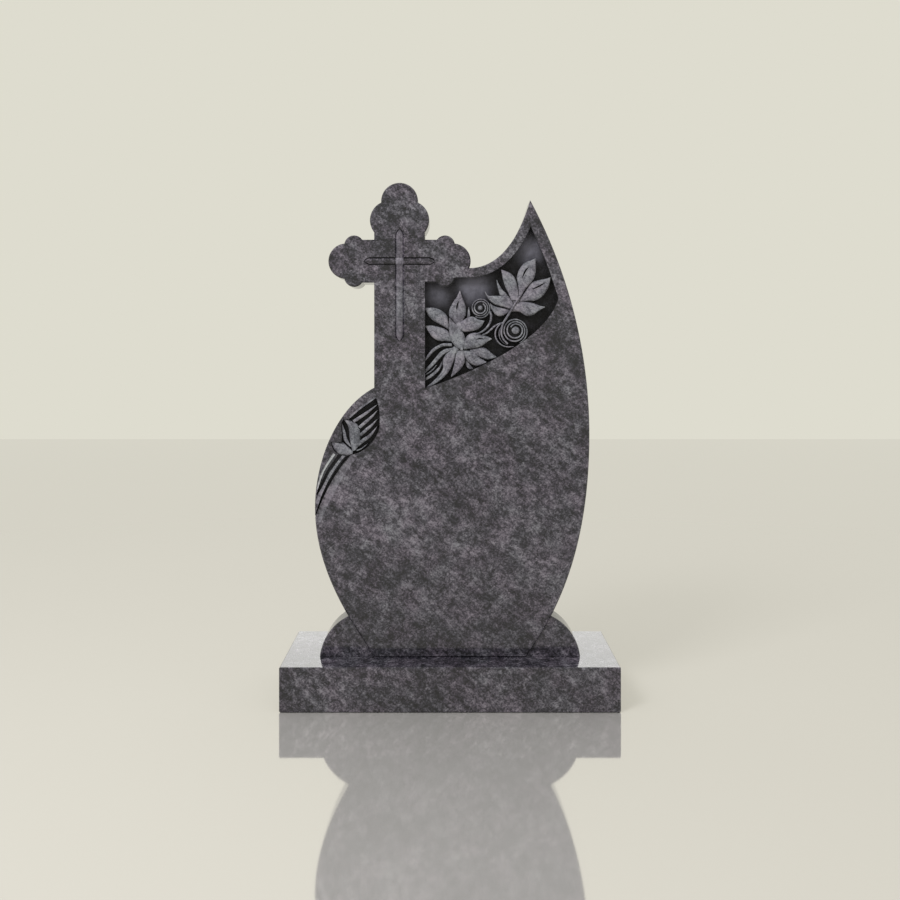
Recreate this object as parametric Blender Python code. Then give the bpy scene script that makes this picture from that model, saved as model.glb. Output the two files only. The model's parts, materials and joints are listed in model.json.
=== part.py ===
"""Granite headstone about 1.09 m tall: a tablet that is an Orthodox cross growing out of a
leaf-shaped body on two rounded feet, standing on a plain plinth of the same stone.

The front of the body has a sunk panel with two flowers and two coiled rosettes in relief, the
left shoulder has a small spray with fluting, and the cross carries a slim incised cross.
Metres, Z up, front towards -Y. The origin is the middle of the plinth's underside.
"""
import math

import bmesh
import bpy

# Plinth
PLINTH_WIDTH = 0.698
PLINTH_DEPTH = 0.262
PLINTH_HEIGHT = 0.092
PLINTH_ARRIS = 0.002       # chamfer along its edges
BED_GAP = 0.0003           # left between the plinth and the tablet that rests on it

# Tablet
TABLET_HEIGHT = 1.000
TABLET_THICKNESS = 0.080
TABLET_SETBACK = 0.067     # its face lies this far behind the front of the plinth
TABLET_ARRIS = 0.0025      # chamfer along the edges of its front and back
FACET_SAG = 0.0001         # how far a chord may cut inside its arc

# Cross, measured from the crossing of its arms
CROSS_X = -0.1064          # its axis, from the middle of the tablet
CROSS_DROP = 0.1652        # the arms' axis, below the top of the tablet
SHAFT_WIDTH = 0.1070
ARM_WIDTH = 0.0905
ARM_REACH = 0.1500
LOBE_PROUD = 0.0090        # how far a side lobe swells beyond the edge that it sits on
ARM_END_RADIUS = 0.0374
ARM_LOBE_RADIUS = 0.0207
ARM_LOBE_SETBACK = 0.0541  # centre of a side lobe, back from the tip of its arm
TOP_END_RADIUS = 0.0388
TOP_LOBE_RADIUS = 0.0409
TOP_LOBE_SETBACK = 0.0787

# Body, measured from the middle of the tablet's underside
LEFT_BULGE_X = 0.2848      # how far the left side swells out
LEFT_BULGE_Z = 0.3150
LEFT_FLOOR_X = 0.1577      # where the left side meets the underside
LEFT_LOWER_HANDLE = 0.134  # of its curve to there: at the bulge, and at the floor
LEFT_FLOOR_HANDLE = 0.085
SHOULDER_Z = 0.5680        # where the left side meets the shaft
SHOULDER_SLOPE = 28        # degrees
SHOULDER_HANDLE = 0.093
LEFT_BULGE_HANDLE = 0.095
RIGHT_BULGE_X = 0.2941
RIGHT_BULGE_Z = 0.4680
RIGHT_FLOOR_X = 0.1600
RIGHT_LOWER_HANDLE = 0.263
RIGHT_FLOOR_HANDLE = 0.091
FLOOR_SLOPE = 55           # degrees, of both sides at the underside
RIGHT_UPPER_RADIUS = 1.045
POINT_Z = 0.9635           # the point at the top right
SWEEP_DROP = 0.0145        # start of the hollow sweep, below the arms' axis
SWEEP_ROOT_HANDLE = 0.060
SWEEP_POINT_HANDLE = 0.0895
SWEEP_POINT_SLOPE = 74     # degrees

# Feet, a little thinner than the body, so that its curve shows on them as a step
FOOT_SPAN = 0.5500
FOOT_RADIUS = 0.1074
FOOT_CENTRE_DROP = 0.0120  # the feet's centres lie this far below the underside
FOOT_STEP = 0.0050         # the feet are set back this much at the front and the back

# Sunk panel right of the shaft
PANEL_DEPTH = 0.0200
PANEL_SWEEP_RIM = 0.0195   # rim left under the hollow sweep
PANEL_SIDE_RIM = 0.0240    # rim left along the right side
PANEL_SIDE_Z = 0.7557      # its lower edge, at the right rim
PANEL_SHAFT_Z = 0.5660     # its lower edge, at the shaft
PANEL_SIDE_HANDLE = (-0.025, -0.085)
PANEL_SHAFT_HANDLE = (0.112, 0.038)

# Incised cross
INCISED_WIDTH = 0.0172
INCISED_DEPTH = 0.0040
INCISED_TIP = 0.0120       # length of the pointed ends
INCISED_ABOVE = 0.0740
INCISED_BELOW = 0.1680
INCISED_ARM = 0.0745

# Relief: how far below the face its parts lie
RELIEF_CROWN = 0.0015
RELIEF_EDGE = 0.0045
RELIEF_LAYER = 0.0008      # each step further back in the spray
RELIEF_ROOT = 0.0020       # buried below the ground that it grows from
TENDRIL_WIDTH = 0.0046
TENDRIL_TAPER = 0.8        # width at its far end, as a share of its width at the start
PETAL_BASE = 0.16          # how much of a full half wave a petal leaves out at its base
PETAL_FULLNESS = 0.8       # below 1 for sides rounder than a sine wave
PETAL_TIP_WIDTH = 0.0008

# Coiled rosettes: centre x and z, then the radius of each ridge
ROSETTE_GROOVE = 0.0045
SMALL_ROSETTE = (0.0643, 0.7363)
SMALL_RIDGES = (0.0030, 0.0085, 0.0140, 0.0195)
LARGE_ROSETTE = (0.1378, 0.6878)
LARGE_RIDGES = (0.0060, 0.0120, 0.0170, 0.0215, 0.0260)

# Sprays: every petal starts and ends at x and z from its flower's heart, has a width and a
# sideways bend to the left of its own direction, and lies in a layer, 0 at the front.
# All are shares of the tablet's height.
LOWER_HEART = (0.017, 0.660)
LOWER_PETALS = (
    (0.006, -0.012, -0.016, 0.050, 0.030, 0.000, 0),
    (-0.013, 0.028, -0.070, 0.077, 0.025, -0.007, 2),
    (-0.013, 0.013, -0.070, 0.038, 0.029, 0.002, 3),
    (-0.007, 0.026, 0.004, 0.109, 0.014, 0.008, 4),
    (0.004, 0.028, 0.005, 0.109, 0.020, -0.005, 3),
    (0.020, 0.050, 0.022, 0.079, 0.005, 0.000, 5),
    (0.002, 0.034, 0.055, 0.048, 0.027, 0.000, 2),
    (0.008, -0.002, 0.071, 0.012, 0.029, 0.005, 1),
    (0.008, -0.012, 0.083, -0.028, 0.025, 0.002, 2),
    (0.008, -0.014, 0.059, -0.040, 0.023, -0.006, 3),
    (0.008, -0.018, 0.030, -0.054, 0.011, 0.000, 4),
    (0.003, -0.008, -0.015, -0.068, 0.027, 0.007, 1),
    (-0.011, -0.008, -0.057, -0.094, 0.023, 0.008, 2),
    (-0.013, -0.006, -0.070, -0.052, 0.012, 0.004, 3),
    (-0.030, -0.031, -0.070, -0.073, 0.006, 0.002, 4),
    (-0.034, -0.048, -0.070, -0.089, 0.006, 0.002, 5),
)
UPPER_HEART = (0.138, 0.745)
UPPER_PETALS = (
    (-0.007, -0.006, -0.030, 0.073, 0.027, -0.009, 1),
    (0.003, 0.002, 0.044, 0.096, 0.017, 0.013, 3),
    (0.014, -0.002, 0.044, 0.096, 0.020, 0.004, 2),
    (-0.014, 0.000, -0.038, 0.051, 0.013, 0.001, 4),
    (-0.001, 0.002, -0.065, 0.026, 0.023, 0.005, 0),
    (-0.001, -0.012, -0.055, 0.005, 0.020, 0.008, 2),
    (0.004, 0.014, 0.075, 0.057, 0.014, 0.004, 4),
    (0.004, 0.006, 0.075, 0.057, 0.026, -0.014, 2),
    (-0.003, -0.004, 0.061, -0.007, 0.026, -0.004, 1),
)
SHOULDER_HEART = (-0.206, 0.432)
SHOULDER_PETALS = (
    (0.003, -0.003, -0.016, 0.069, 0.028, -0.013, 0),
    (-0.007, 0.009, -0.022, 0.066, 0.013, 0.005, 2),
    (0.004, -0.004, -0.045, 0.023, 0.030, 0.003, 1),
)

# Tendrils of the sprays, as routes of a few points, in shares of the tablet's height
TENDRILS = (
    ((0.006, 0.6590), (-0.0200, 0.6576), (-0.0373, 0.6460), (-0.0530, 0.6276)),
    ((0.0833, 0.7289), (0.0871, 0.7152), (0.0854, 0.7004), (0.0770, 0.6878), (0.0686, 0.6793)),
    ((0.1203, 0.7099), (0.1055, 0.7036), (0.0928, 0.6951), (0.0823, 0.6857), (0.0717, 0.6783)),
    ((0.1350, 0.7300), (0.1234, 0.7173), (0.1129, 0.7004)),
    ((0.1161, 0.7036), (0.1045, 0.6983), (0.0992, 0.6867), (0.1002, 0.6741), (0.1076, 0.6640),
     (0.1203, 0.6576), (0.1351, 0.6566)),
    ((0.1119, 0.7030), (0.0981, 0.6952), (0.0935, 0.6825), (0.0971, 0.6688), (0.1076, 0.6583),
     (0.1224, 0.6540)),
)

# Fluting on the left shoulder: a sunk field with ribs that run under its spray. Its outline is
# four smooth stretches, clockwise, in shares of the tablet's height.
FLUTE_DEPTH = 0.0110
FLUTE_FIELD = (
    ((-0.2585, 0.4578), (-0.2285, 0.4585)),
    ((-0.2285, 0.4585), (-0.2310, 0.4740), (-0.2300, 0.4880), (-0.2250, 0.5020)),
    ((-0.2150, 0.5030), (-0.1870, 0.5315), (-0.1555, 0.5510)),
    ((-0.1555, 0.5510), (-0.1500, 0.5280), (-0.1490, 0.5000), (-0.1500, 0.4780), (-0.1610, 0.4570),
     (-0.1780, 0.4420), (-0.1990, 0.4320), (-0.2085, 0.4262)),
    ((-0.2085, 0.4262), (-0.2280, 0.4225), (-0.2400, 0.4265), (-0.2510, 0.4370), (-0.2600, 0.4500)),
)
RIB_CROWN = 0.0048         # the ribs' tops, below the face
RIB_WIDTH = 0.0090
RIB_TAPER = 0.20           # width of a rib at its right end, as a share of its full width
FLUTE_RIBS = (
    ((-0.2140, 0.4990), (-0.1850, 0.5260), (-0.1560, 0.5465)),
    ((-0.2040, 0.4885), (-0.1785, 0.5115), (-0.1545, 0.5325)),
    ((-0.2000, 0.4735), (-0.1740, 0.4985), (-0.1550, 0.5190)),
    ((-0.2000, 0.4560), (-0.1740, 0.4785), (-0.1545, 0.4990)),
    ((-0.2050, 0.4370), (-0.1740, 0.4570), (-0.1555, 0.4820)),
)

# Two long grooves that run down the left edge, wide at the top and running out at the foot,
# and the band that slopes into the second one from the face
GROOVE_DEPTH = 0.0080
GROOVE_TAPER = 0.25
LONG_GROOVES = (
    ((-0.2365, 0.4290), (-0.2553, 0.3987), (-0.2700, 0.3713), (-0.2850, 0.3340)),
    ((-0.2130, 0.4260), (-0.2360, 0.3966), (-0.2550, 0.3650), (-0.2720, 0.3291), (-0.2875, 0.2910)),
)
GROOVE_WIDTHS = (0.0125, 0.0062)
BAND_DEPTH = 0.0020
BAND_WIDTH = 0.0105
BAND_ENDS = ((-0.2095, 0.4235), (-0.2805, 0.3080))

# Worked out from the sizes above
TABLET_Z = PLINTH_HEIGHT + BED_GAP
FRONT_Y = TABLET_SETBACK - PLINTH_DEPTH / 2
BACK_Y = FRONT_Y + TABLET_THICKNESS
ARMS_Z = TABLET_HEIGHT - CROSS_DROP
SHAFT_LEFT = CROSS_X - SHAFT_WIDTH / 2
SHAFT_RIGHT = CROSS_X + SHAFT_WIDTH / 2
CLEAR = 0.010              # cutters start this far outside the stone


# Outlines: lists of (x, z) points, clockwise as seen from the front

def arc(centre, start, end, turn):
    """Points from start to end round a centre; turn is 1 anticlockwise and -1 clockwise."""
    radius = math.dist(centre, start)
    first = math.atan2(start[1] - centre[1], start[0] - centre[0])
    last = math.atan2(end[1] - centre[1], end[0] - centre[0])
    sweep = (last - first) * turn % (2 * math.pi)
    steps = 2 * max(1, math.ceil(sweep / (4 * math.acos(1 - FACET_SAG / radius))))
    angles = [first + turn * sweep * i / steps for i in range(steps + 1)]
    return [(centre[0] + radius * math.cos(a), centre[1] + radius * math.sin(a)) for a in angles]


def curve(start, start_handle, end_handle, end, steps=16):
    """Points on the cubic curve whose handles are given as offsets from its two ends."""
    points = (start, (start[0] + start_handle[0], start[1] + start_handle[1]),
              (end[0] + end_handle[0], end[1] + end_handle[1]), end)
    weights = [((1 - t) ** 3, 3 * t * (1 - t) ** 2, 3 * t ** 2 * (1 - t), t ** 3)
               for t in (i / steps for i in range(steps + 1))]
    return [tuple(sum(w * p[k] for w, p in zip(row, points)) for k in (0, 1)) for row in weights]


def smooth_route(points, steps=4):
    """A curve through all the points, with a few steps in each stretch."""
    ends = [tuple(2 * a - b for a, b in zip(points[0], points[1])),
            tuple(2 * a - b for a, b in zip(points[-1], points[-2]))]
    padded = [ends[0], *points, ends[1]]
    route = []
    for before, start, end, after in zip(padded, padded[1:], padded[2:], padded[3:]):
        leave = tuple((e - b) / 6 for e, b in zip(end, before))
        arrive = tuple((s - a) / 6 for s, a in zip(start, after))
        route += curve(start, leave, arrive, end, steps)[:-1]
    return [*route, points[-1]]


def lobed_end(half_width, reach, end_radius, lobe_radius, lobe_setback):
    """A trefoil arm end, as (along, across) points from its left edge round to its right one."""
    lobe_x, lobe_y = reach - lobe_setback, half_width + LOBE_PROUD - lobe_radius
    end_x = reach - end_radius
    along, across = end_x - lobe_x, -lobe_y
    apart = math.hypot(along, across)
    foot = (lobe_radius ** 2 - end_radius ** 2 + apart ** 2) / (2 * apart)
    rise = math.sqrt(lobe_radius ** 2 - foot ** 2)
    valley = (lobe_x + (foot * along - rise * across) / apart,
              lobe_y + (foot * across + rise * along) / apart)
    root = lobe_x - math.sqrt(lobe_radius ** 2 - (half_width - lobe_y) ** 2)
    lobe = arc((lobe_x, lobe_y), (root, half_width), valley, -1)
    end = arc((end_x, 0), valley, (valley[0], -valley[1]), -1)
    return lobe + end[1:] + [(x, -y) for x, y in reversed(lobe[:-1])]


def arm_of_cross(direction):
    """The end of the left, top or right arm, placed on the tablet."""
    if direction == "top":
        points = lobed_end(SHAFT_WIDTH / 2, CROSS_DROP, TOP_END_RADIUS, TOP_LOBE_RADIUS,
                           TOP_LOBE_SETBACK)
    else:
        points = lobed_end(ARM_WIDTH / 2, ARM_REACH, ARM_END_RADIUS, ARM_LOBE_RADIUS,
                           ARM_LOBE_SETBACK)
    turn = {"left": (-1, 0), "top": (0, 1), "right": (1, 0)}[direction]
    return [(CROSS_X + turn[0] * x - turn[1] * y, ARMS_Z + turn[1] * x + turn[0] * y)
            for x, y in points]


def split_at_level(points, level):
    """Cuts a falling line of points where it first passes below a level."""
    for i, ((x0, z0), (x1, z1)) in enumerate(zip(points, points[1:])):
        if z0 >= level > z1:
            cut = (x0 + (x1 - x0) * (z0 - level) / (z0 - z1), level)
            return [*points[:i + 1], cut], [cut, *points[i + 1:]]
    return points, points[-1:]


def right_side_centre(radius):
    return (RIGHT_BULGE_X - radius, RIGHT_BULGE_Z)


def right_side_at(z, inset=0.0):
    """Where the upper right side, moved inwards by an inset, passes a height."""
    x, centre_z = right_side_centre(RIGHT_UPPER_RADIUS)
    return (x + math.sqrt((RIGHT_UPPER_RADIUS - inset) ** 2 - (z - centre_z) ** 2), z)


def sweep_line():
    """The hollow edge between the right arm of the cross and the point."""
    above, _ = split_at_level(arm_of_cross("right"), ARMS_Z - SWEEP_DROP)
    slope = math.radians(SWEEP_POINT_SLOPE)
    back = (-SWEEP_POINT_HANDLE * math.cos(slope), -SWEEP_POINT_HANDLE * math.sin(slope))
    return curve(above[-1], (SWEEP_ROOT_HANDLE, 0), back, right_side_at(POINT_Z), 20)


def side_to_floor(bulge, bulge_handle, floor_x, floor_handle):
    """The lower side of the body as a right hand one, from its bulge down to the underside."""
    slope = math.radians(FLOOR_SLOPE)
    rise = (floor_handle * math.cos(slope), floor_handle * math.sin(slope))
    return curve(bulge, (0, -bulge_handle), rise, (floor_x, 0), 24)


def tablet_outline():
    """Cross and body together, clockwise from the lower left corner."""
    left_side = side_to_floor((LEFT_BULGE_X, LEFT_BULGE_Z), LEFT_LOWER_HANDLE, LEFT_FLOOR_X,
                              LEFT_FLOOR_HANDLE)
    left_low = [(-x, z) for x, z in reversed(left_side)]
    slope = math.radians(SHOULDER_SLOPE)
    back = (-SHOULDER_HANDLE * math.cos(slope), -SHOULDER_HANDLE * math.sin(slope))
    left_high = curve(left_low[-1], (0, LEFT_BULGE_HANDLE), back, (SHAFT_LEFT, SHOULDER_Z))
    right_arm, _ = split_at_level(arm_of_cross("right"), ARMS_Z - SWEEP_DROP)
    right_high = arc(right_side_centre(RIGHT_UPPER_RADIUS), right_side_at(POINT_Z),
                     (RIGHT_BULGE_X, RIGHT_BULGE_Z), -1)
    right_low = side_to_floor((RIGHT_BULGE_X, RIGHT_BULGE_Z), RIGHT_LOWER_HANDLE, RIGHT_FLOOR_X,
                              RIGHT_FLOOR_HANDLE)
    return [*left_low, *left_high[1:],
            (SHAFT_LEFT, ARMS_Z - ARM_WIDTH / 2), *arm_of_cross("left"),
            (SHAFT_LEFT, ARMS_Z + ARM_WIDTH / 2), *arm_of_cross("top"),
            (SHAFT_RIGHT, ARMS_Z + ARM_WIDTH / 2), *right_arm,
            *sweep_line()[1:], *right_high[1:], *right_low[1:]]


def feet_outline():
    """Both rounded feet and the stretch between them, which lies inside the body."""
    centre_x = FOOT_SPAN / 2 - math.sqrt(FOOT_RADIUS ** 2 - FOOT_CENTRE_DROP ** 2)
    centre = (centre_x, -FOOT_CENTRE_DROP)
    right = arc(centre, (centre_x, FOOT_RADIUS - FOOT_CENTRE_DROP), (FOOT_SPAN / 2, 0), -1)
    return [*((-x, z) for x, z in reversed(right)), *right]


def panel_outline():
    """The sunk panel, between the shaft, the right arm and the rim of the body."""
    sweep = sweep_line()
    top_level = sweep[0][1] - PANEL_SWEEP_RIM
    _, under_arm = split_at_level(arm_of_cross("right"), top_level)
    centre = right_side_centre(RIGHT_UPPER_RADIUS)
    inner_radius = RIGHT_UPPER_RADIUS - PANEL_SIDE_RIM
    under_sweep = []
    for (x0, z0), (x1, z1) in zip(sweep, sweep[1:]):
        length = math.dist((x0, z0), (x1, z1))
        point = (x0 + PANEL_SWEEP_RIM * (z1 - z0) / length, z0 - PANEL_SWEEP_RIM * (x1 - x0) / length)
        if point[0] > under_arm[0][0]:
            under_sweep.append(point)
        if math.dist(point, centre) > inner_radius:
            break
    inside, outside = (math.dist(point, centre) - inner_radius for point in under_sweep[-2:])
    share = inside / (inside - outside)
    apex = tuple(a + (b - a) * share for a, b in zip(*under_sweep[-2:]))
    low_right = right_side_at(PANEL_SIDE_Z, PANEL_SIDE_RIM)
    side = arc(centre, apex, low_right, -1)
    foot = curve(low_right, PANEL_SIDE_HANDLE, PANEL_SHAFT_HANDLE, (SHAFT_RIGHT, PANEL_SHAFT_Z))
    return [*reversed(under_arm), *under_sweep[:-1], *side, *foot[1:],
            (SHAFT_RIGHT, ARMS_Z - ARM_WIDTH / 2)]


# Solids

def new_object(name, mesh_builder, material):
    """An object whose mesh is closed and has its faces pointing out."""
    bmesh.ops.remove_doubles(mesh_builder, verts=mesh_builder.verts, dist=1e-6)
    bmesh.ops.recalc_face_normals(mesh_builder, faces=mesh_builder.faces)
    mesh = bpy.data.meshes.new(name)
    mesh_builder.to_mesh(mesh)
    mesh_builder.free()
    mesh.materials.append(material)
    obj = bpy.data.objects.new(name, mesh)
    bpy.context.scene.collection.objects.link(obj)
    return obj


def prism(name, outline, front, back, material, arris=0.0):
    """An outline carried from one depth to another, with chamfered front and back edges."""
    builder = bmesh.new()
    bottom = [builder.verts.new((x, front, TABLET_Z + z)) for x, z in outline]
    face = builder.faces.new(bottom)
    swept = bmesh.ops.extrude_face_region(builder, geom=[face])["geom"]
    moved = [item for item in swept if isinstance(item, bmesh.types.BMVert)]
    bmesh.ops.translate(builder, verts=moved, vec=(0, back - front, 0))
    bmesh.ops.remove_doubles(builder, verts=builder.verts, dist=1e-6)
    bmesh.ops.recalc_face_normals(builder, faces=builder.faces)
    if arris:
        rims = [e for e in builder.edges if len({round(v.co.y, 6) for v in e.verts}) == 1]
        bmesh.ops.bevel(builder, geom=rims, offset=arris, segments=1, affect="EDGES",
                        clamp_overlap=True)
    return new_object(name, builder, material)


def strip(name, spine, half_widths, section, material):
    """A solid along a spine. Its section is a ring of points, each a share of the half width,
    positive to the left of the spine's direction, and a depth below the face."""
    builder = bmesh.new()
    rings = []
    for i, ((x, z), half) in enumerate(zip(spine, half_widths)):
        x0, z0 = spine[max(i - 1, 0)]
        x1, z1 = spine[min(i + 1, len(spine) - 1)]
        length = math.dist((x0, z0), (x1, z1))
        side = ((z0 - z1) / length * half, (x1 - x0) / length * half)
        rings.append([builder.verts.new((x + side[0] * s, FRONT_Y + depth,
                                         TABLET_Z + z + side[1] * s)) for s, depth in section])
    for here, there in zip(rings, rings[1:]):
        for k in range(len(here)):
            following = (k + 1) % len(here)
            builder.faces.new((here[k], here[following], there[following], there[k]))
    builder.faces.new(rings[0])
    builder.faces.new(reversed(rings[-1]))
    return new_object(name, builder, material)


def roof(crown, edge, ground):
    """The section of carved relief: a low roof on upright sides that reach into the ground."""
    return ((-1, ground), (-1, edge), (0, crown), (1, edge), (1, ground))


def petal(name, heart, row, ground, material, stations=8):
    """One pointed petal, widest before its middle, lying in its layer of the spray."""
    base_x, base_z, tip_x, tip_z, width, bend = (value * TABLET_HEIGHT for value in row[:-1])
    depth = row[-1] * RELIEF_LAYER
    along = (tip_x - base_x, tip_z - base_z)
    length = math.hypot(*along)
    left = (-along[1] / length, along[0] / length)
    spine, halves = [], []
    for i in range(stations + 1):
        t = i / stations
        bow = 4 * t * (1 - t) * bend
        spine.append((heart[0] * TABLET_HEIGHT + base_x + along[0] * t + left[0] * bow,
                      heart[1] * TABLET_HEIGHT + base_z + along[1] * t + left[1] * bow))
        wave = math.sin(math.pi * (PETAL_BASE + (1 - PETAL_BASE) * t))
        halves.append(max(width / 2 * max(wave, 0) ** PETAL_FULLNESS, PETAL_TIP_WIDTH / 2))
    section = roof(RELIEF_CROWN + depth, RELIEF_EDGE + depth, ground)
    return strip(name, spine, halves, section, material)


def tendril(name, points, width, taper, section, material):
    """A strip through a few points that narrows, ever faster, to a share of its width."""
    route = smooth_route([(x * TABLET_HEIGHT, z * TABLET_HEIGHT) for x, z in points])
    last = len(route) - 1
    halves = [width / 2 * (1 - (1 - taper) * (i / last) ** 2) for i in range(last + 1)]
    return strip(name, route, halves, section, material)


def rosette(name, centre, ridges, ground, material, sides=28):
    """A coiled bud seen from the front, turned from a profile of ridges and grooves."""
    builder = bmesh.new()
    profile = [(0.0, RELIEF_CROWN)]
    for i, radius in enumerate(ridges):
        profile.append((radius, RELIEF_CROWN + i * RELIEF_LAYER))
        if i + 1 < len(ridges):
            profile.append(((radius + ridges[i + 1]) / 2, RELIEF_CROWN + ROSETTE_GROOVE))
    rim = ridges[-1] + (ridges[-1] - ridges[-2]) / 3
    profile += [(rim, RELIEF_EDGE + len(ridges) * RELIEF_LAYER), (rim, ground), (0.0, ground)]
    points = [builder.verts.new((radius, depth, 0)) for radius, depth in profile]
    edges = [builder.edges.new(pair) for pair in zip(points, points[1:])]
    bmesh.ops.spin(builder, geom=[*points, *edges], cent=(0, 0, 0), axis=(0, 1, 0),
                   angle=2 * math.pi, steps=sides, use_merge=True)
    bmesh.ops.remove_doubles(builder, verts=builder.verts, dist=1e-5)
    place = (centre[0] * TABLET_HEIGHT, FRONT_Y, TABLET_Z + centre[1] * TABLET_HEIGHT)
    bmesh.ops.translate(builder, verts=builder.verts, vec=place)
    return new_object(name, builder, material)


def incised_bar(name, start, end, width, material):
    """A V cutter with hipped ends, lying along the face of the cross."""
    builder = bmesh.new()
    length = math.dist(start, end)
    along = ((end[0] - start[0]) / length, (end[1] - start[1]) / length)
    across = (-along[1], along[0])

    def corner(distance, side, depth):
        return builder.verts.new((start[0] + along[0] * distance + across[0] * side,
                                  FRONT_Y + depth,
                                  TABLET_Z + start[1] + along[1] * distance + across[1] * side))

    share = CLEAR / INCISED_DEPTH
    wide = width / 2 * (1 + share)
    over = INCISED_TIP * share
    tip, other_tip = corner(-over, 0, -CLEAR), corner(length + over, 0, -CLEAR)
    rim = [corner(d, s * wide, -CLEAR) for d, s in
           ((INCISED_TIP, 1), (length - INCISED_TIP, 1), (length - INCISED_TIP, -1), (INCISED_TIP, -1))]
    low, other_low = corner(INCISED_TIP, 0, INCISED_DEPTH), corner(length - INCISED_TIP, 0, INCISED_DEPTH)
    for face in ((tip, rim[0], rim[3]), (other_tip, rim[2], rim[1]), (rim[0], rim[1], rim[2], rim[3]),
                 (tip, low, rim[0]), (tip, rim[3], low), (other_tip, rim[1], other_low),
                 (other_tip, other_low, rim[2]), (rim[0], low, other_low, rim[1]),
                 (rim[3], rim[2], other_low, low)):
        builder.faces.new(face)
    return new_object(name, builder, material)


def boolean(target, operation, tool):
    """Joins or cuts the target by one object or by a collection of them."""
    modifier = target.modifiers.new(operation.lower(), "BOOLEAN")
    modifier.operation = operation
    if isinstance(tool, bpy.types.Collection):
        modifier.operand_type = "COLLECTION"
        modifier.collection = tool
    else:
        modifier.object = tool


def helpers(name, objects):
    """A collection of objects that only shape another one."""
    collection = bpy.data.collections.new(name)
    bpy.context.scene.collection.children.link(collection)
    for obj in objects:
        bpy.context.scene.collection.objects.unlink(obj)
        collection.objects.link(obj)
        obj.hide_render = True
        obj.display_type = "WIRE"
    return collection


def stone(name, colour, roughness):
    material = bpy.data.materials.new(name)
    material.use_nodes = True
    shader = material.node_tree.nodes["Principled BSDF"]
    shader.inputs["Base Color"].default_value = (*colour, 1)
    shader.inputs["Roughness"].default_value = roughness
    shader.inputs["Metallic"].default_value = 0
    return material


# Pieces

def build_plinth(material):
    builder = bmesh.new()
    bmesh.ops.create_cube(builder, size=1)
    bmesh.ops.scale(builder, verts=builder.verts, vec=(PLINTH_WIDTH, PLINTH_DEPTH, PLINTH_HEIGHT))
    bmesh.ops.translate(builder, verts=builder.verts, vec=(0, 0, PLINTH_HEIGHT / 2))
    bmesh.ops.bevel(builder, geom=builder.edges, offset=PLINTH_ARRIS, segments=1, affect="EDGES")
    return new_object("plinth", builder, material)


def build_cutters(material):
    """Everything that is sunk into the front of the tablet."""
    cutters = [prism("panel_cutter", panel_outline(), FRONT_Y - CLEAR, FRONT_Y + PANEL_DEPTH, material)]
    field = [(x * TABLET_HEIGHT, z * TABLET_HEIGHT)
             for stretch in FLUTE_FIELD for x, z in smooth_route(stretch, 3)]
    cutters.append(prism("flute_field_cutter", field, FRONT_Y - CLEAR, FRONT_Y + FLUTE_DEPTH, material))
    groove = ((-1, GROOVE_DEPTH), (-1, -CLEAR), (1, -CLEAR), (1, GROOVE_DEPTH))
    for i, (route, width) in enumerate(zip(LONG_GROOVES, GROOVE_WIDTHS)):
        cutters.append(tendril(f"groove_cutter_{i + 1}", route, width, GROOVE_TAPER, groove, material))
    slope = ((0, BAND_DEPTH), (0, -CLEAR / 2), (2, -CLEAR / 2), (2, 0))
    band = (BAND_ENDS[0], *LONG_GROOVES[1][1:-1], BAND_ENDS[1])
    cutters.append(tendril("band_cutter", band, BAND_WIDTH, GROOVE_TAPER, slope, material))
    upright = ((CROSS_X, ARMS_Z + INCISED_ABOVE), (CROSS_X, ARMS_Z - INCISED_BELOW))
    level = ((CROSS_X - INCISED_ARM, ARMS_Z), (CROSS_X + INCISED_ARM, ARMS_Z))
    cutters.append(incised_bar("incised_upright_cutter", *upright, INCISED_WIDTH, material))
    cutters.append(incised_bar("incised_arm_cutter", *level, INCISED_WIDTH, material))
    return helpers("cutters", cutters)


def build_relief(material):
    """Petals, tendrils, rosettes and ribs, each rooted in the ground behind it."""
    panel_ground = PANEL_DEPTH + RELIEF_ROOT
    flute_ground = FLUTE_DEPTH + RELIEF_ROOT
    relief = []
    for name, heart, rows, ground in (("lower", LOWER_HEART, LOWER_PETALS, panel_ground),
                                      ("upper", UPPER_HEART, UPPER_PETALS, panel_ground),
                                      ("shoulder", SHOULDER_HEART, SHOULDER_PETALS, flute_ground)):
        for i, row in enumerate(rows):
            relief.append(petal(f"{name}_petal_{i + 1}", heart, row, ground, material))
    for i, route in enumerate(TENDRILS):
        back = i * RELIEF_LAYER / 2
        section = roof(RELIEF_CROWN + back, RELIEF_EDGE + back, panel_ground)
        relief.append(tendril(f"tendril_{i + 1}", route, TENDRIL_WIDTH, TENDRIL_TAPER, section, material))
    section = roof(RIB_CROWN, RIB_CROWN + RELIEF_LAYER, flute_ground)
    for i, route in enumerate(FLUTE_RIBS):
        relief.append(tendril(f"rib_{i + 1}", route, RIB_WIDTH, RIB_TAPER, section, material))
    relief.append(rosette("small_rosette", SMALL_ROSETTE, SMALL_RIDGES, panel_ground, material))
    relief.append(rosette("large_rosette", LARGE_ROSETTE, LARGE_RIDGES, panel_ground, material))
    return helpers("relief", relief)


def build_tablet(polished, carved):
    tablet = prism("tablet", tablet_outline(), FRONT_Y, BACK_Y, polished, TABLET_ARRIS)
    feet = prism("feet", feet_outline(), FRONT_Y + FOOT_STEP, BACK_Y - FOOT_STEP, polished,
                 TABLET_ARRIS)
    boolean(tablet, "UNION", helpers("feet", [feet]))
    boolean(tablet, "DIFFERENCE", build_cutters(carved))
    boolean(tablet, "UNION", build_relief(carved))
    return tablet


def main():
    for obj in list(bpy.data.objects):
        bpy.data.objects.remove(obj)
    polished = stone("polished_granite", (0.090, 0.084, 0.095), 0.12)
    carved = stone("carved_granite", (0.210, 0.205, 0.225), 0.75)
    build_plinth(polished)
    build_tablet(polished, carved)


main()
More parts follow.
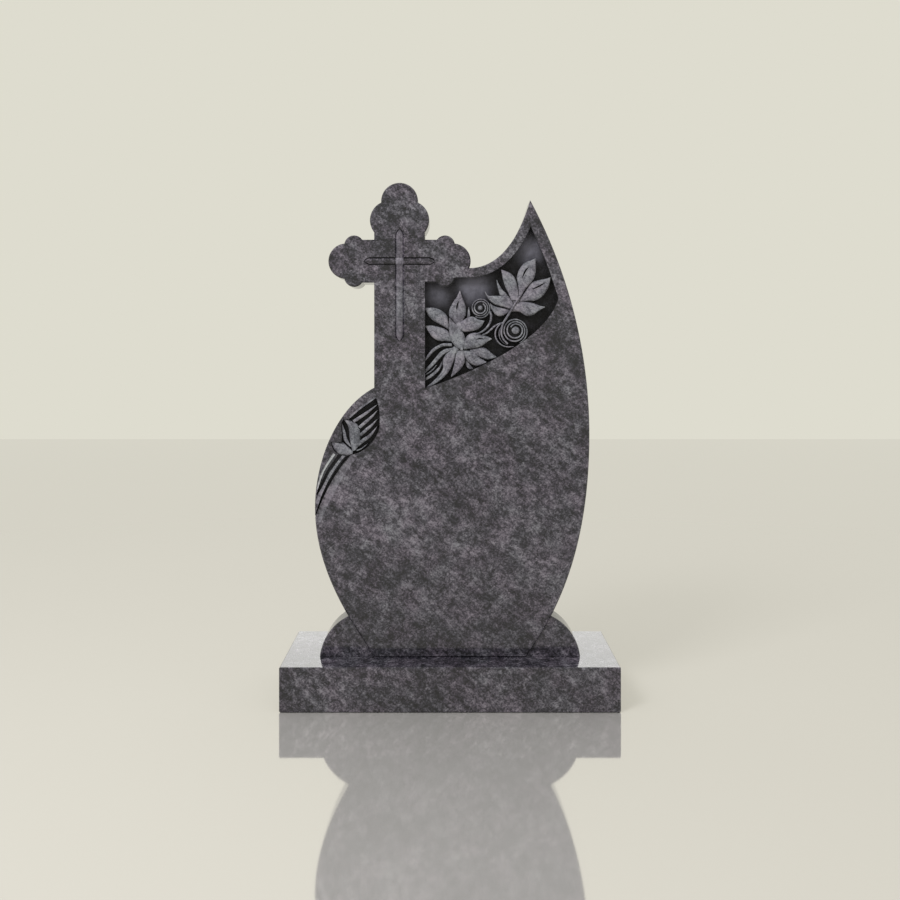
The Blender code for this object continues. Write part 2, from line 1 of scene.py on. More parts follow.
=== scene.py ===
# %% [markdown]
# # An Orthodox cross headstone in polished granite
#
# The real object is two pieces of grey-violet granite: a plain plinth, and an upright tablet that
# was sawn from a slab, polished all over and then carved by hand. This lesson models the tablet
# again in finer detail than the CAD solid has, gives both pieces their stone, and puts them in a
# plain studio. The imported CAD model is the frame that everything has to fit.

# %% Load the frame
import json
import math

import bmesh
import bpy
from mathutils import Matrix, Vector
from mathutils.geometry import interpolate_bezier

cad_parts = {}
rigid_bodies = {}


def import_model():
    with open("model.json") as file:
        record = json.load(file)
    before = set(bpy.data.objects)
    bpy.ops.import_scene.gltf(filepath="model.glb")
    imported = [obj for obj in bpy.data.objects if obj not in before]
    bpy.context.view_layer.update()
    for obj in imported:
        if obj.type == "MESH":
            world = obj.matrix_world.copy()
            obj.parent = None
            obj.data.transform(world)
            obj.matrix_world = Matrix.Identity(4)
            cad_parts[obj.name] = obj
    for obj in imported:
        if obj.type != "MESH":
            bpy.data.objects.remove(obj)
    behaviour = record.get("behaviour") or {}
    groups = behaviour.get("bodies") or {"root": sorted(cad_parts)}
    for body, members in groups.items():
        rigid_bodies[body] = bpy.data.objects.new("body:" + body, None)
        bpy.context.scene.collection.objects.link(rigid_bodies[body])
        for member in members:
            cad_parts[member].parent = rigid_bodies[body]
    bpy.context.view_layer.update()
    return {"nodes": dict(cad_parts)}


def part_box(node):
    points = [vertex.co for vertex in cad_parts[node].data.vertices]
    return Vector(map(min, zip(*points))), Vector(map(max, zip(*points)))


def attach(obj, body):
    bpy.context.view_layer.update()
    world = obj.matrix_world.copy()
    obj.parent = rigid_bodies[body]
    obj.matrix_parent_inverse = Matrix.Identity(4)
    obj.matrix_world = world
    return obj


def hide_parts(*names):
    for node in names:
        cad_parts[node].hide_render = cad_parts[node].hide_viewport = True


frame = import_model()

MM = 0.001
tablet_low, tablet_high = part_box("tablet")
plinth_low, plinth_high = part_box("plinth")
print("tablet size in mm:", [round(v / MM, 1) for v in tablet_high - tablet_low])
print("plinth size in mm:", [round(v / MM, 1) for v in plinth_high - plinth_low])

# %% [markdown]
# ## The camera
#
# The photograph looks at the stone straight from the front, with the lens level and about
# two thirds of the way up. A real photographer would raise the lens and shift the film down, and a
# camera's shift does the same here, so the upright edges stay upright.

# %% Place the camera
QUARTER_TURN = math.radians(90)
CAMERA_PLACE = (0.0, -2.150, 0.742)
LENS = 39.6
DOWNWARD_SHIFT = -0.1123

bpy.ops.object.select_all(action="DESELECT")
bpy.ops.object.camera_add(location=CAMERA_PLACE, rotation=(QUARTER_TURN, 0, 0))
camera = bpy.context.object
camera.name = "photo_camera"
camera.data.lens = LENS
camera.data.shift_y = DOWNWARD_SHIFT
bpy.context.scene.camera = camera
print("camera at", CAMERA_PLACE, "with a", LENS, "mm lens")

# %% [markdown]
# ## Working by hand
#
# Blender's operators act on whatever is selected, so each step first selects one piece, or the
# faces and edges that it is about. These small helpers do what a hand does with the mouse.

# %% Helpers that select
TINY = 1e-5


def pick(*pieces):
    """Selects these pieces alone, and makes the first one active."""
    bpy.ops.object.select_all(action="DESELECT")
    for piece in pieces:
        piece.select_set(True)
    bpy.context.view_layer.objects.active = pieces[0]


def edit(piece):
    pick(piece)
    bpy.ops.object.mode_set(mode="EDIT")


def leave_edit():
    bpy.ops.object.mode_set(mode="OBJECT")


def select_where(kind, test):
    """Selects the verts, edges or faces of the piece in edit mode that pass a test."""
    bpy.context.tool_settings.mesh_select_mode = [kind == k for k in ("verts", "edges", "faces")]
    bpy.ops.mesh.select_all(action="DESELECT")
    mesh = bmesh.from_edit_mesh(bpy.context.object.data)
    for item in getattr(mesh, kind):
        if test(item):
            item.select_set(True)
    bmesh.update_edit_mesh(bpy.context.object.data)


def settle(piece, name):
    """Names a piece and moves its place, turn and size into its mesh."""
    pick(piece)
    piece.name = name
    bpy.ops.object.transform_apply(location=True, rotation=True, scale=True)
    return piece


print("helpers ready")

# %% [markdown]
# ## Five finishes on one stone
#
# The whole tablet is one granite in five finishes: polished where it is dark and deep, honed to a
# satin on the slim cross, dressed with a fine point on the carved petals, where the crushed grains
# scatter light and look pale, a near-white painted highlight along the lip of a groove, and rough
# and stained dark on the ground, a dark that is also laid down every cut side as painted shade. All
# five are built from the same pattern of grains and drifts, so the stone runs through from one to the
# next.

# %% Colour and node helpers
def linear(colour):
    """An sRGB hex colour as the linear red, green, blue and alpha that a shader needs."""
    channels = [int(colour[i:i + 2], 16) / 255 for i in (1, 3, 5)]
    return (*[c / 12.92 if c <= 0.04045 else ((c + 0.055) / 1.055) ** 2.4 for c in channels], 1)


def add_node(material, kind, inputs=None, stops=None, **settings):
    """Adds one node; an input is given a value, or the output of another node to be linked."""
    tree = material.node_tree
    node = tree.nodes.new(kind)
    for name, value in settings.items():
        setattr(node, name, value)
    for socket, value in (inputs or {}).items():
        if isinstance(value, bpy.types.NodeSocket):
            tree.links.new(value, node.inputs[socket])
        else:
            node.inputs[socket].default_value = value
    for i, (position, colour) in enumerate(stops or ()):
        element = node.color_ramp.elements[i] if i < 2 else node.color_ramp.elements.new(position)
        element.position = position
        element.color = linear(colour)
    return node


print("mid grey in linear light:", [round(v, 3) for v in linear("#808080")[:3]])

# %% [markdown]
# Granite is a mass of crystals. From a step away the eye sees grains of 2 to 3 mm, dark minerals
# that have gathered in clumps and streaks, and slow drifts of darker and lighter stone. Each of
# these is one layer here, with its own size. The layers are added up by their shares, and the sum
# is looked up in a row of five mineral colours. A photograph of stone would be quicker, but it
# would repeat and it would not run on through the carving, as a pattern in real space does.

# %% The pattern of the granite
GRAIN = 2.6 * MM           # the crystals that show at arm's length
SPECKLE = 4.42 * MM        # and where a few of a kind lie together
STREAK = 7.6 * MM          # dark minerals, drawn out along the drift
CLUMP = 19 * MM            # dark minerals that gather between the crystals
CLOUD = 70 * MM            # the drifts of darker and lighter stone
HUE_PATCH = 56 * MM        # where the grey turns a little green or a little red
DRIFT_TURN = math.radians(-40)  # the drifts run down to the right
DRIFT_STRETCH = (3.2, 1.6, 1.0)
HUES = ((0.38, "#dde0db"), (0.62, "#e3dcdd"))
SHARES = {"clouds": 0.26, "streaks": 0.25, "clumps": 0.40, "speckle": 0.21, "grains": 0.13}
STOPS = (0.520, 0.580, 0.625, 0.675, 0.775)


def noise(material, place, size, detail, roughness):
    return add_node(material, "ShaderNodeTexNoise", {
        "Vector": place, "Scale": 1 / size, "Detail": detail, "Roughness": roughness}).outputs["Fac"]


def granite(name, colours, bump, **shader_settings):
    """One finish of the stone: five colours from the darkest mineral to the palest fleck."""
    material = bpy.data.materials.new(name)
    material.use_nodes = True
    shader = material.node_tree.nodes["Principled BSDF"]
    for socket, value in shader_settings.items():
        shader.inputs[socket.replace("_", " ")].default_value = value
    place = add_node(material, "ShaderNodeTexCoord").outputs["Object"]
    turned = add_node(material, "ShaderNodeMapping", {"Vector": place, "Rotation": (0, DRIFT_TURN, 0)})
    drawn_out = add_node(material, "ShaderNodeMapping", {
        "Vector": turned.outputs["Vector"],
        "Scale": [1 / stretch for stretch in DRIFT_STRETCH]}).outputs["Vector"]
    cells = add_node(material, "ShaderNodeTexVoronoi", {"Vector": place, "Scale": 1 / GRAIN})
    cell_value = add_node(material, "ShaderNodeSeparateColor", {"Color": cells.outputs["Color"]})
    speckle = noise(material, place, SPECKLE, 2.0, 0.7)
    layers = {
        "clouds": noise(material, drawn_out, CLOUD, 4.0, 0.60),
        "streaks": noise(material, drawn_out, STREAK, 3.0, 0.60),
        "clumps": noise(material, place, CLUMP, 5.0, 0.62),
        "speckle": speckle,
        "grains": cell_value.outputs["Red"]}
    mixed = None
    for layer, value in layers.items():
        part = add_node(material, "ShaderNodeMath", {0: value, 1: SHARES[layer]},
                        operation="MULTIPLY" if mixed is None else "MULTIPLY_ADD")
        if mixed:
            material.node_tree.links.new(mixed, part.inputs[2])
        mixed = part.outputs[0]
    darkest, dark, middle, light, fleck = zip(STOPS, colours)
    colour = add_node(material, "ShaderNodeValToRGB", {"Fac": mixed},
                      stops=(darkest, fleck, dark, middle, light)).outputs["Color"]
    hue_drift = add_node(material, "ShaderNodeValToRGB", {
        "Fac": noise(material, place, HUE_PATCH, 2.0, 0.5)}, stops=HUES).outputs["Color"]
    tinted = add_node(material, "ShaderNodeMix", {"Factor": 1.0, 6: colour, 7: hue_drift},
                      data_type="RGBA", blend_type="MULTIPLY")
    material.node_tree.links.new(tinted.outputs[2], shader.inputs["Base Color"])
    if bump:
        relief = add_node(material, "ShaderNodeBump", {
            "Height": speckle, "Strength": 1.0, "Distance": bump})
        material.node_tree.links.new(relief.outputs["Normal"], shader.inputs["Normal"])
    return material


QUARTZ_IOR = 1.54
POINT_MARKS = 0.25 * MM    # relief that a fine point leaves
ROUGH_MARKS = 0.8 * MM

# Ground with ever finer grit: a clear gloss over deep, dark colour.
polished = granite("polished_granite", ("#1f1e25", "#35343d", "#4d4a55", "#68646f", "#9b98a2"), 0,
                   Roughness=0.10, IOR=QUARTZ_IOR)
# Rubbed with a medium stone: a satin that spreads the light and looks paler.
honed = granite("honed_granite", ("#54535c", "#65636d", "#76747e", "#888590", "#a3a0ab"), 0,
                Roughness=0.42, IOR=QUARTZ_IOR)
# Dressed with a fine point: crushed grains, matt and pale grey.
carved = granite("dressed_granite", ("#65656e", "#7a7a84", "#8d8d97", "#9e9ea7", "#b8b8c0"),
                 POINT_MARKS, Roughness=0.70, IOR=QUARTZ_IOR)
# Left rough and stained dark on the ground; laid on cut sides, slits and the lower walls of grooves,
# the same dark is painted shade. It swallows nearly all the light, so the carving stands out.
ground = granite("stained_and_shaded_granite", ("#0b0b0e", "#131317", "#1c1c20", "#26262b", "#34343a"),
                 ROUGH_MARKS, Roughness=0.8, IOR=QUARTZ_IOR)
# A painted highlight: a near-white band along the lip of a groove, where the edge catches the light.
lip_highlight = granite("painted_highlight_granite", ("#b4b4bb", "#c2c2c8", "#cecfd4", "#dadade", "#e6e6ea"),
                  POINT_MARKS, Roughness=0.70, IOR=QUARTZ_IOR)
FINISHES = (polished, honed, carved, ground, lip_highlight)

# Painted shade: the dressed carving darkens in its corners and creases, where an ambient occlusion test
# finds little open space.
CORNER_SHADE_REACH = 6 * MM       # how far a corner shelters the stone beside it
SHELTERED, OPEN = 0.50, 0.93
CORNER_SHADE_STRENGTH = 0.9


def paint_corner_shade(material, colour):
    """Paints shade into the corners and creases, where ambient occlusion finds little open space."""
    shader = material.node_tree.nodes["Principled BSDF"]
    unshaded = shader.inputs["Base Color"].links[0].from_socket
    openness = add_node(material, "ShaderNodeAmbientOcclusion", {"Distance": CORNER_SHADE_REACH}, samples=8)
    amount = add_node(material, "ShaderNodeMapRange", {
        "Value": openness.outputs["AO"], "From Min": SHELTERED, "From Max": OPEN,
        "To Min": CORNER_SHADE_STRENGTH, "To Max": 0.0})
    corner_shaded = add_node(material, "ShaderNodeMix", {
        "Factor": amount.outputs["Result"], 6: unshaded, 7: linear(colour)}, data_type="RGBA")
    material.node_tree.links.new(corner_shaded.outputs[2], shader.inputs["Base Color"])


# painted shade in the corners of the dressed carving
paint_corner_shade(carved, "#17171b")
print("finishes:", [material.name for material in FINISHES])

# %% [markdown]
# The dark ground is paler in three soft patches.
# Each is a falloff with the distance from its middle, in real millimetres, made uneven by a noise.
# A noise is about a half on average, so the falloff starts at twice the strength that is wanted.

# %% Lighten the ground in patches
PATCH_DEPTH = 20 * MM       # the ground of the panel lies this far behind the face
PATCH_NOISE = 24 * MM          # the size of the uneven spots
PALE_PATCHES = ((-28, 768, 44, 0.60), (50, 783, 54, 1.0), (169, 862, 50, 0.95))
PALE_PATCH_COLOUR = "#74737d"


def lighten_in_patches(material, patches, colour):
    """Lets a paler colour through round a few places, each with an x, a z, a radius and a strength."""
    shader = material.node_tree.nodes["Principled BSDF"]
    place = add_node(material, "ShaderNodeTexCoord").outputs["Object"]
    stain = shader.inputs["Base Color"].links[0].from_socket
    patch_noise = noise(material, place, PATCH_NOISE, 4.0, 0.6)
    for x, z, radius, strength in patches:
        middle = (x * MM, tablet_low.y + PATCH_DEPTH, tablet_low.z + z * MM)
        away = add_node(material, "ShaderNodeVectorMath", {0: place, 1: middle}, operation="DISTANCE")
        amount = add_node(material, "ShaderNodeMapRange", {
            "Value": away.outputs["Value"], "From Min": 0.0, "From Max": radius * MM,
            "To Min": 2 * strength, "To Max": 0.0}, interpolation_type="SMOOTHSTEP")
        uneven = add_node(material, "ShaderNodeMath", {0: amount.outputs["Result"], 1: patch_noise},
                          operation="MULTIPLY")
        stain = add_node(material, "ShaderNodeMix", {
            "Factor": uneven.outputs["Value"], 6: stain, 7: linear(colour)},
            data_type="RGBA").outputs[2]
    material.node_tree.links.new(stain, shader.inputs["Base Color"])


lighten_in_patches(ground, PALE_PATCHES, PALE_PATCH_COLOUR)
print(len(PALE_PATCHES), "worn patches")

# %% Lay a finish on a piece
def give_finish(piece, finish):
    """Gives a piece every finish, so that joined pieces agree, and lays one of them on its faces."""
    piece.data.materials.clear()
    for material in FINISHES:
        piece.data.materials.append(material)
    for face in piece.data.polygons:
        face.material_index = FINISHES.index(finish)


print(len(FINISHES), "finishes on each piece")

# %% [markdown]
# ## The slab and the cross
#
# A mason saws this outline from one slab and then breaks the sharp edges with a narrow chamfer,
# the arris. A trefoil cross is easy to build the way it is set out on paper: two bars, and three
# circles on each end. Every bar and disc gets its own arris first. Where two of them meet, the
# union of the two chamfers is just the mitre that the mason cuts.

# %% Set out the tablet
FRONT = tablet_low.y
BACK = tablet_high.y
THICKNESS = BACK - FRONT
UNDERSIDE = tablet_low.z
HEIGHT = tablet_high.z - UNDERSIDE
ARRIS = 2.5 * MM

CROSS_X = -106.4 * MM
ARMS_Z = HEIGHT - 165.2 * MM
SHAFT_TOP = HEIGHT - 78.7 * MM
SHAFT_WIDTH = 107 * MM
ARM_WIDTH = 90.5 * MM
ARM_END_X = 112.6 * MM     # centre of an arm's end lobe, from the crossing
ARM_END_RADIUS = 37.4 * MM
SIDE_LOBE = (95.9 * MM, 33.55 * MM)
SIDE_LOBE_RADIUS = 20.7 * MM
TOP_LOBE_RADIUS = 38.8 * MM
TOP_SIDE_LOBE_X = 21.6 * MM
TOP_SIDE_LOBE_RADIUS = 40.9 * MM
ROUND_STEPS = 128          # flats round a disc, too fine to see
SHAFT_FOOT = 450 * MM      # hidden inside the body


def at(x, depth, z):
    """A point of the tablet: across from its middle, behind its face, above its underside."""
    return Vector((x, FRONT + depth, UNDERSIDE + z))


def is_rim(edge):
    """True for an edge that lies in the front or the back of a slab."""
    y0, y1 = (vertex.co.y for vertex in edge.verts)
    return abs(y0 - y1) < TINY


def break_edges(piece, arris):
    """Cuts a narrow chamfer along the front and back edges of a slab."""
    edit(piece)
    select_where("edges", is_rim)
    bpy.ops.mesh.bevel(offset=arris, segments=1, affect="EDGES", clamp_overlap=True)
    leave_edit()


def bar(name, x, z, width, height):
    bpy.ops.object.select_all(action="DESELECT")
    bpy.ops.mesh.primitive_cube_add(size=1, location=at(x, THICKNESS / 2, z),
                                    scale=(width, THICKNESS, height))
    piece = settle(bpy.context.object, name)
    break_edges(piece, ARRIS)
    return piece


def disc(name, x, z, radius, thickness=THICKNESS):
    bpy.ops.object.select_all(action="DESELECT")
    bpy.ops.mesh.primitive_cylinder_add(vertices=ROUND_STEPS, radius=radius, depth=thickness,
                                        location=at(x, THICKNESS / 2, z),
                                        rotation=(QUARTER_TURN, 0, 0))
    piece = settle(bpy.context.object, name)
    break_edges(piece, ARRIS)
    return piece


shaft = bar("shaft", CROSS_X, (SHAFT_TOP + SHAFT_FOOT) / 2, SHAFT_WIDTH, SHAFT_TOP - SHAFT_FOOT)
arms = bar("arms", CROSS_X, ARMS_Z, 2 * SIDE_LOBE[0], ARM_WIDTH)
cross_parts = [shaft, arms]
cross_parts.append(disc("top_lobe", CROSS_X, HEIGHT - TOP_LOBE_RADIUS, TOP_LOBE_RADIUS))
for side in (-1, 1):
    cross_parts.append(disc("top_side_lobe", CROSS_X + side * TOP_SIDE_LOBE_X, SHAFT_TOP,
                            TOP_SIDE_LOBE_RADIUS))
    cross_parts.append(disc("arm_lobe", CROSS_X + side * ARM_END_X, ARMS_Z, ARM_END_RADIUS))
    for rise in (-1, 1):
        cross_parts.append(disc("arm_side_lobe", CROSS_X + side * SIDE_LOBE[0],
                                ARMS_Z + rise * SIDE_LOBE[1], SIDE_LOBE_RADIUS))
print(len(cross_parts), "parts of the cross, crossing at", round(ARMS_Z / MM, 1), "mm")

# %% [markdown]
# ## The leaf-shaped body
#
# The body is drawn with one long arc on the right and four free curves, filled, and pulled back to
# the thickness of the slab. It rises to a point beside a hollow sweep that starts at the arm.

# %% Draw the body
BULGE_X = 294.1 * MM
BULGE_Z = 468 * MM
UPPER_RADIUS = 1045 * MM
LEFT_BULGE = (-284.8 * MM, 315 * MM)
LEFT_FLOOR = (-157.7 * MM, 0)
RIGHT_FLOOR = (160 * MM, 0)
FLOOR_SLOPE = 55
SHOULDER_Z = 568 * MM
SHOULDER_SLOPE = 28
POINT_Z = 963.5 * MM
POINT_SLOPE = 74
SWEEP_DROP = 14.5 * MM
LEFT_FLOOR_PULL, LEFT_DOWN_PULL = 85 * MM, 134 * MM    # how long the handles of the curves are
LEFT_UP_PULL, SHOULDER_PULL = 95 * MM, 93 * MM
RIGHT_DOWN_PULL, RIGHT_FLOOR_PULL = 263 * MM, 91 * MM
SWEEP_PULL, POINT_PULL = 60 * MM, 89.5 * MM
side_centre = (BULGE_X - UPPER_RADIUS, BULGE_Z)


def arc(centre, radius, first, last, steps=48):
    """Points on a circle, from one angle to another in degrees."""
    angles = [math.radians(first + (last - first) * i / steps) for i in range(steps + 1)]
    return [(centre[0] + radius * math.cos(a), centre[1] + radius * math.sin(a)) for a in angles]


def free_curve(start, start_handle, end_handle, end, steps=40):
    """Points on a curve whose two handles are given from its ends."""
    knots = [Vector((*p, 0)) for p in (start, (start[0] + start_handle[0], start[1] + start_handle[1]),
                                       (end[0] + end_handle[0], end[1] + end_handle[1]), end)]
    return [(p.x, p.y) for p in interpolate_bezier(*knots, steps + 1)]


def slope_handle(length, degrees):
    """A handle that points down to the left at an angle."""
    return (-length * math.cos(math.radians(degrees)), -length * math.sin(math.radians(degrees)))


def drawn_slab(name, outline, front_depth, back_depth, arris=0):
    """Draws an outline as a curve, fills it, pulls it back and breaks its edges."""
    bpy.ops.object.select_all(action="DESELECT")
    bpy.ops.object.add(type="CURVE", location=(0, 0, 0))
    drawing = bpy.context.object
    drawing.data.dimensions = "3D"
    line = drawing.data.splines.new("POLY")
    line.points.add(len(outline) - 1)
    for point, (x, z) in zip(line.points, outline):
        point.co = (*at(x, front_depth, z), 1)
    line.use_cyclic_u = True
    bpy.ops.object.convert(target="MESH")
    piece = bpy.context.object
    bpy.ops.object.mode_set(mode="EDIT")
    bpy.ops.mesh.select_all(action="SELECT")
    bpy.ops.mesh.remove_doubles(threshold=TINY)
    bpy.ops.mesh.edge_face_add()
    bpy.ops.mesh.extrude_region_move(
        TRANSFORM_OT_translate={"value": (0, back_depth - front_depth, 0)})
    bpy.ops.mesh.select_all(action="SELECT")
    bpy.ops.mesh.normals_make_consistent(inside=False)
    leave_edit()
    if arris:
        break_edges(piece, arris)
    return settle(piece, name)


arm_tip = (CROSS_X + ARM_END_X, ARMS_Z)
sweep_start = (arm_tip[0] + math.sqrt(ARM_END_RADIUS ** 2 - SWEEP_DROP ** 2), ARMS_Z - SWEEP_DROP)
point_angle = math.degrees(math.asin((POINT_Z - BULGE_Z) / UPPER_RADIUS))
point = arc(side_centre, UPPER_RADIUS, point_angle, 0)[0]
sweep = free_curve(sweep_start, (SWEEP_PULL, 0), slope_handle(POINT_PULL, POINT_SLOPE), point)
shoulder = (CROSS_X - SHAFT_WIDTH / 2, SHOULDER_Z)
body_outline = [
    *free_curve(LEFT_FLOOR, slope_handle(LEFT_FLOOR_PULL, -FLOOR_SLOPE), (0, -LEFT_DOWN_PULL),
                LEFT_BULGE),
    *free_curve(LEFT_BULGE, (0, LEFT_UP_PULL), slope_handle(SHOULDER_PULL, SHOULDER_SLOPE),
                shoulder)[1:],
    (CROSS_X, SHOULDER_Z), (CROSS_X, sweep_start[1]),
    *sweep,
    *arc(side_centre, UPPER_RADIUS, point_angle, 0)[1:],
    *free_curve((BULGE_X, BULGE_Z), (0, -RIGHT_DOWN_PULL),
                slope_handle(-RIGHT_FLOOR_PULL, FLOOR_SLOPE), RIGHT_FLOOR)[1:]]
tablet = drawn_slab("tablet_stone", body_outline, 0, THICKNESS, ARRIS)
print("body drawn with", len(body_outline), "points")

# %% [markdown]
# ## The feet
#
# Two discs stand under the body and are cut off level with its underside. They are a little
# thinner than the slab, so the curve of the body runs down over them as a step.

# %% Make the feet
FOOT_RADIUS = 107.4 * MM
FOOT_X = 168.3 * MM
FOOT_DROP = 12 * MM
FOOT_STEP = 5 * MM

feet = []
for side in (-1, 1):
    foot = disc("foot", side * FOOT_X, -FOOT_DROP, FOOT_RADIUS, THICKNESS - 2 * FOOT_STEP)
    edit(foot)
    bpy.ops.mesh.select_all(action="SELECT")
    bpy.ops.mesh.bisect(plane_co=(0, 0, UNDERSIDE), plane_no=(0, 0, 1), use_fill=True,
                        clear_inner=True)
    leave_edit()
    feet.append(foot)
print("feet reach", round((FOOT_X + FOOT_RADIUS) / MM), "mm to each side")

# %% [markdown]
# ## One stone
#
# The parts only overlap so far. A union makes them one closed slab, with no faces left inside, and
# it is made in one go, because each union of its own would cut the faces up again. The parts of the
# cross are copied first, because they also guard the cross when the panel is cut.

# %% Join the slab
def shape_by(target, operation, tools):
    """Joins or cuts a piece with a set of tools, and throws the tools away."""
    tray = bpy.data.collections.new("tools")
    bpy.context.scene.collection.children.link(tray)
    for tool in tools:
        for home in tool.users_collection:
            home.objects.unlink(tool)
        tray.objects.link(tool)
    pick(target)
    modifier = target.modifiers.new("shape", "BOOLEAN")
    modifier.operation = operation
    modifier.solver = "MANIFOLD"
    modifier.operand_type = "COLLECTION"
    modifier.collection = tray
    bpy.ops.object.modifier_apply(modifier=modifier.name)
    pick(*tools)
    bpy.ops.object.delete()
    bpy.data.collections.remove(tray)


def copy_of(piece):
    """A copy with a mesh of its own."""
    pick(piece)
    bpy.ops.object.duplicate()
    return bpy.context.object


for piece in (tablet, *cross_parts, *feet):
    give_finish(piece, polished)
panel_guards = [copy_of(piece) for piece in cross_parts]
shape_by(tablet, "UNION", [*cross_parts, *feet])
print("slab:", len(tablet.data.polygons), "faces")

# %% [markdown]
# ## The sunk panel
#
# The ground of the panel is cut back 20 mm. Its outline follows the sweep and the right side with
# an even rim, and the arm of the cross is left standing in front of it. So the cutter is drawn as
# one shape, and the cross is then taken out of the cutter.

# %% Cut the panel
OUTSIDE = -10 * MM         # cutters start this far in front of the face
PANEL_DEPTH = 20 * MM
SWEEP_RIM = 19.5 * MM
SIDE_RIM = 24 * MM
PANEL_SIDE_Z = 755.7 * MM
PANEL_SHAFT_Z = 566 * MM
PANEL_FOOT_HANDLES = ((-25 * MM, -85 * MM), (112 * MM, 38 * MM))
PANEL_SIDE_STEPS = 24
shaft_right = CROSS_X + SHAFT_WIDTH / 2
inner_radius = UPPER_RADIUS - SIDE_RIM

under_sweep = []
for (x0, z0), (x1, z1) in zip(sweep, sweep[1:]):
    length = math.dist((x0, z0), (x1, z1))
    rim_point = (x0 + SWEEP_RIM * (z1 - z0) / length, z0 - SWEEP_RIM * (x1 - x0) / length)
    if math.dist(rim_point, side_centre) > inner_radius:
        break
    under_sweep.append(rim_point)
apex_angle = math.degrees(math.asin((under_sweep[-1][1] - BULGE_Z) / inner_radius))
low_angle = math.degrees(math.asin((PANEL_SIDE_Z - BULGE_Z) / inner_radius))
panel_side = arc(side_centre, inner_radius, apex_angle, low_angle, PANEL_SIDE_STEPS)
panel_foot = free_curve(panel_side[-1], *PANEL_FOOT_HANDLES, (shaft_right, PANEL_SHAFT_Z))
panel_outline = [(shaft_right, ARMS_Z), (arm_tip[0], ARMS_Z), (arm_tip[0], under_sweep[0][1]),
                 *under_sweep, *panel_side, *panel_foot[1:]]
panel_cutter = drawn_slab("panel_cutter", panel_outline, OUTSIDE, PANEL_DEPTH)
# The ground of the panel is stained dark; on the walls of the panel the same dark is painted shade.
give_finish(panel_cutter, ground)
shape_by(panel_cutter, "DIFFERENCE", panel_guards)
give_finish(panel_cutter, ground)  # again, for the walls along the cross
shape_by(tablet, "DIFFERENCE", [panel_cutter])
print("panel cut", round(PANEL_DEPTH / MM), "mm deep")

# %% [markdown]
# ## Carving one strip of stone
#
# Petals, stems, ribs and the grooves on the shoulder are all the same kind of thing: a long strip
# with a crown, two edges and a root in the stone. Each starts as a flat grid. Its points are moved
# in code to where a chisel would leave the surface, because no operator bends a grid along a line
# and swells it at once. Then it is extruded back and pressed flat below the ground that it grows
# from. Pulled the other way, out of the face, the same strip is a cutter.

# %% A strip that follows a line
PETAL_GROUND = PANEL_DEPTH + 2 * MM
STEEP = 0.35               # a face that leans back further than this is painted dark as shade
NEARLY_ALL = 0.9999        # so that the end of a line still lies on its last stretch
RIDGE_STEPS = 6            # along a ridge, for each point of its line
RIDGE_ACROSS = 8
NEEDLE = 0.08              # a pointed ridge ends at this share of its width


def carved_strip(name, surface, along, across, root, finish):
    """A closed strip. surface(t, s) gives x, depth and z for t from 0 to 1 and s from -1 to 1.

    The finish is one of the five, or a function that picks one by s.
    """
    bpy.ops.object.select_all(action="DESELECT")
    bpy.ops.mesh.primitive_grid_add(x_subdivisions=along, y_subdivisions=across, size=2)
    piece = settle(bpy.context.object, name)
    give_finish(piece, carved)
    for face in piece.data.polygons:
        chosen = finish(face.center.y) if callable(finish) else finish
        face.material_index = FINISHES.index(chosen)
    for vertex in piece.data.vertices:
        vertex.co = at(*surface((vertex.co.x + 1) / 2, vertex.co.y))
    edit(piece)
    bpy.ops.mesh.select_all(action="SELECT")
    bpy.ops.mesh.extrude_region_move(TRANSFORM_OT_translate={"value": (0, root, 0)})
    bpy.ops.transform.resize(value=(1, 0, 1), center_override=at(0, root, 0))
    bpy.ops.mesh.select_all(action="SELECT")
    bpy.ops.mesh.normals_make_consistent(inside=False)
    leave_edit()
    # Painted shade: every side that leans back takes the dark ground finish.
    for face in piece.data.polygons:
        if abs(face.normal.y) < STEEP:
            face.material_index = FINISHES.index(ground)
    return piece


def smooth_line(points, steps=10):
    """A curve through all the points, given and returned in metres."""
    padded = [tuple(2 * a - b for a, b in zip(points[0], points[1])), *points,
              tuple(2 * a - b for a, b in zip(points[-1], points[-2]))]
    line = []
    for before, start, end, after in zip(padded, padded[1:], padded[2:], padded[3:]):
        leave = tuple((e - b) / 6 for e, b in zip(end, before))
        arrive = tuple((s - a) / 6 for s, a in zip(start, after))
        line += free_curve(start, leave, arrive, end, steps)[:-1]
    return [*line, points[-1]]


def along_line(line, share):
    """The point at a share of a line's points, and the direction to the left of the line there."""
    place = min(share, NEARLY_ALL) * (len(line) - 1)
    i = int(place)
    (x0, z0), (x1, z1) = line[i], line[i + 1]
    rest = place - i
    before, after = line[max(i - 1, 0)], line[min(i + 2, len(line) - 1)]
    length = math.dist(before, after)
    left = (-(after[1] - before[1]) / length, (after[0] - before[0]) / length)
    return (x0 + (x1 - x0) * rest, z0 + (z1 - z0) * rest), left


def ridge(name, points, width, taper, crown, edge, root, finish, pointed=False):
    """A strip through a few points in mm, round on top, that narrows towards its end or to both."""
    line = smooth_line([(x * MM, z * MM) for x, z in points])

    def surface(t, s):
        (x, z), left = along_line(line, t)
        share = max(math.sin(math.pi * t), NEEDLE) if pointed else 1 - (1 - taper) * t ** 3
        half = width / 2 * share
        return x + left[0] * half * s, crown + (edge - crown) * s * s, z + left[1] * half * s

    return carved_strip(name, surface, RIDGE_STEPS * len(points), RIDGE_ACROSS, root, finish)


# %% [markdown]
# ## The petals
#
# Every petal is drawn by its two edges, which run from the heart of the flower to the tip. The
# carver keeps its face nearly flat, rounds it over close to the edges, sinks a shallow midrib and
# scores side veins with the corner of the chisel. Each row gives a petal's layer, 0 for the front,
# and then points on its two edges, in millimetres from the middle of the tablet's underside.

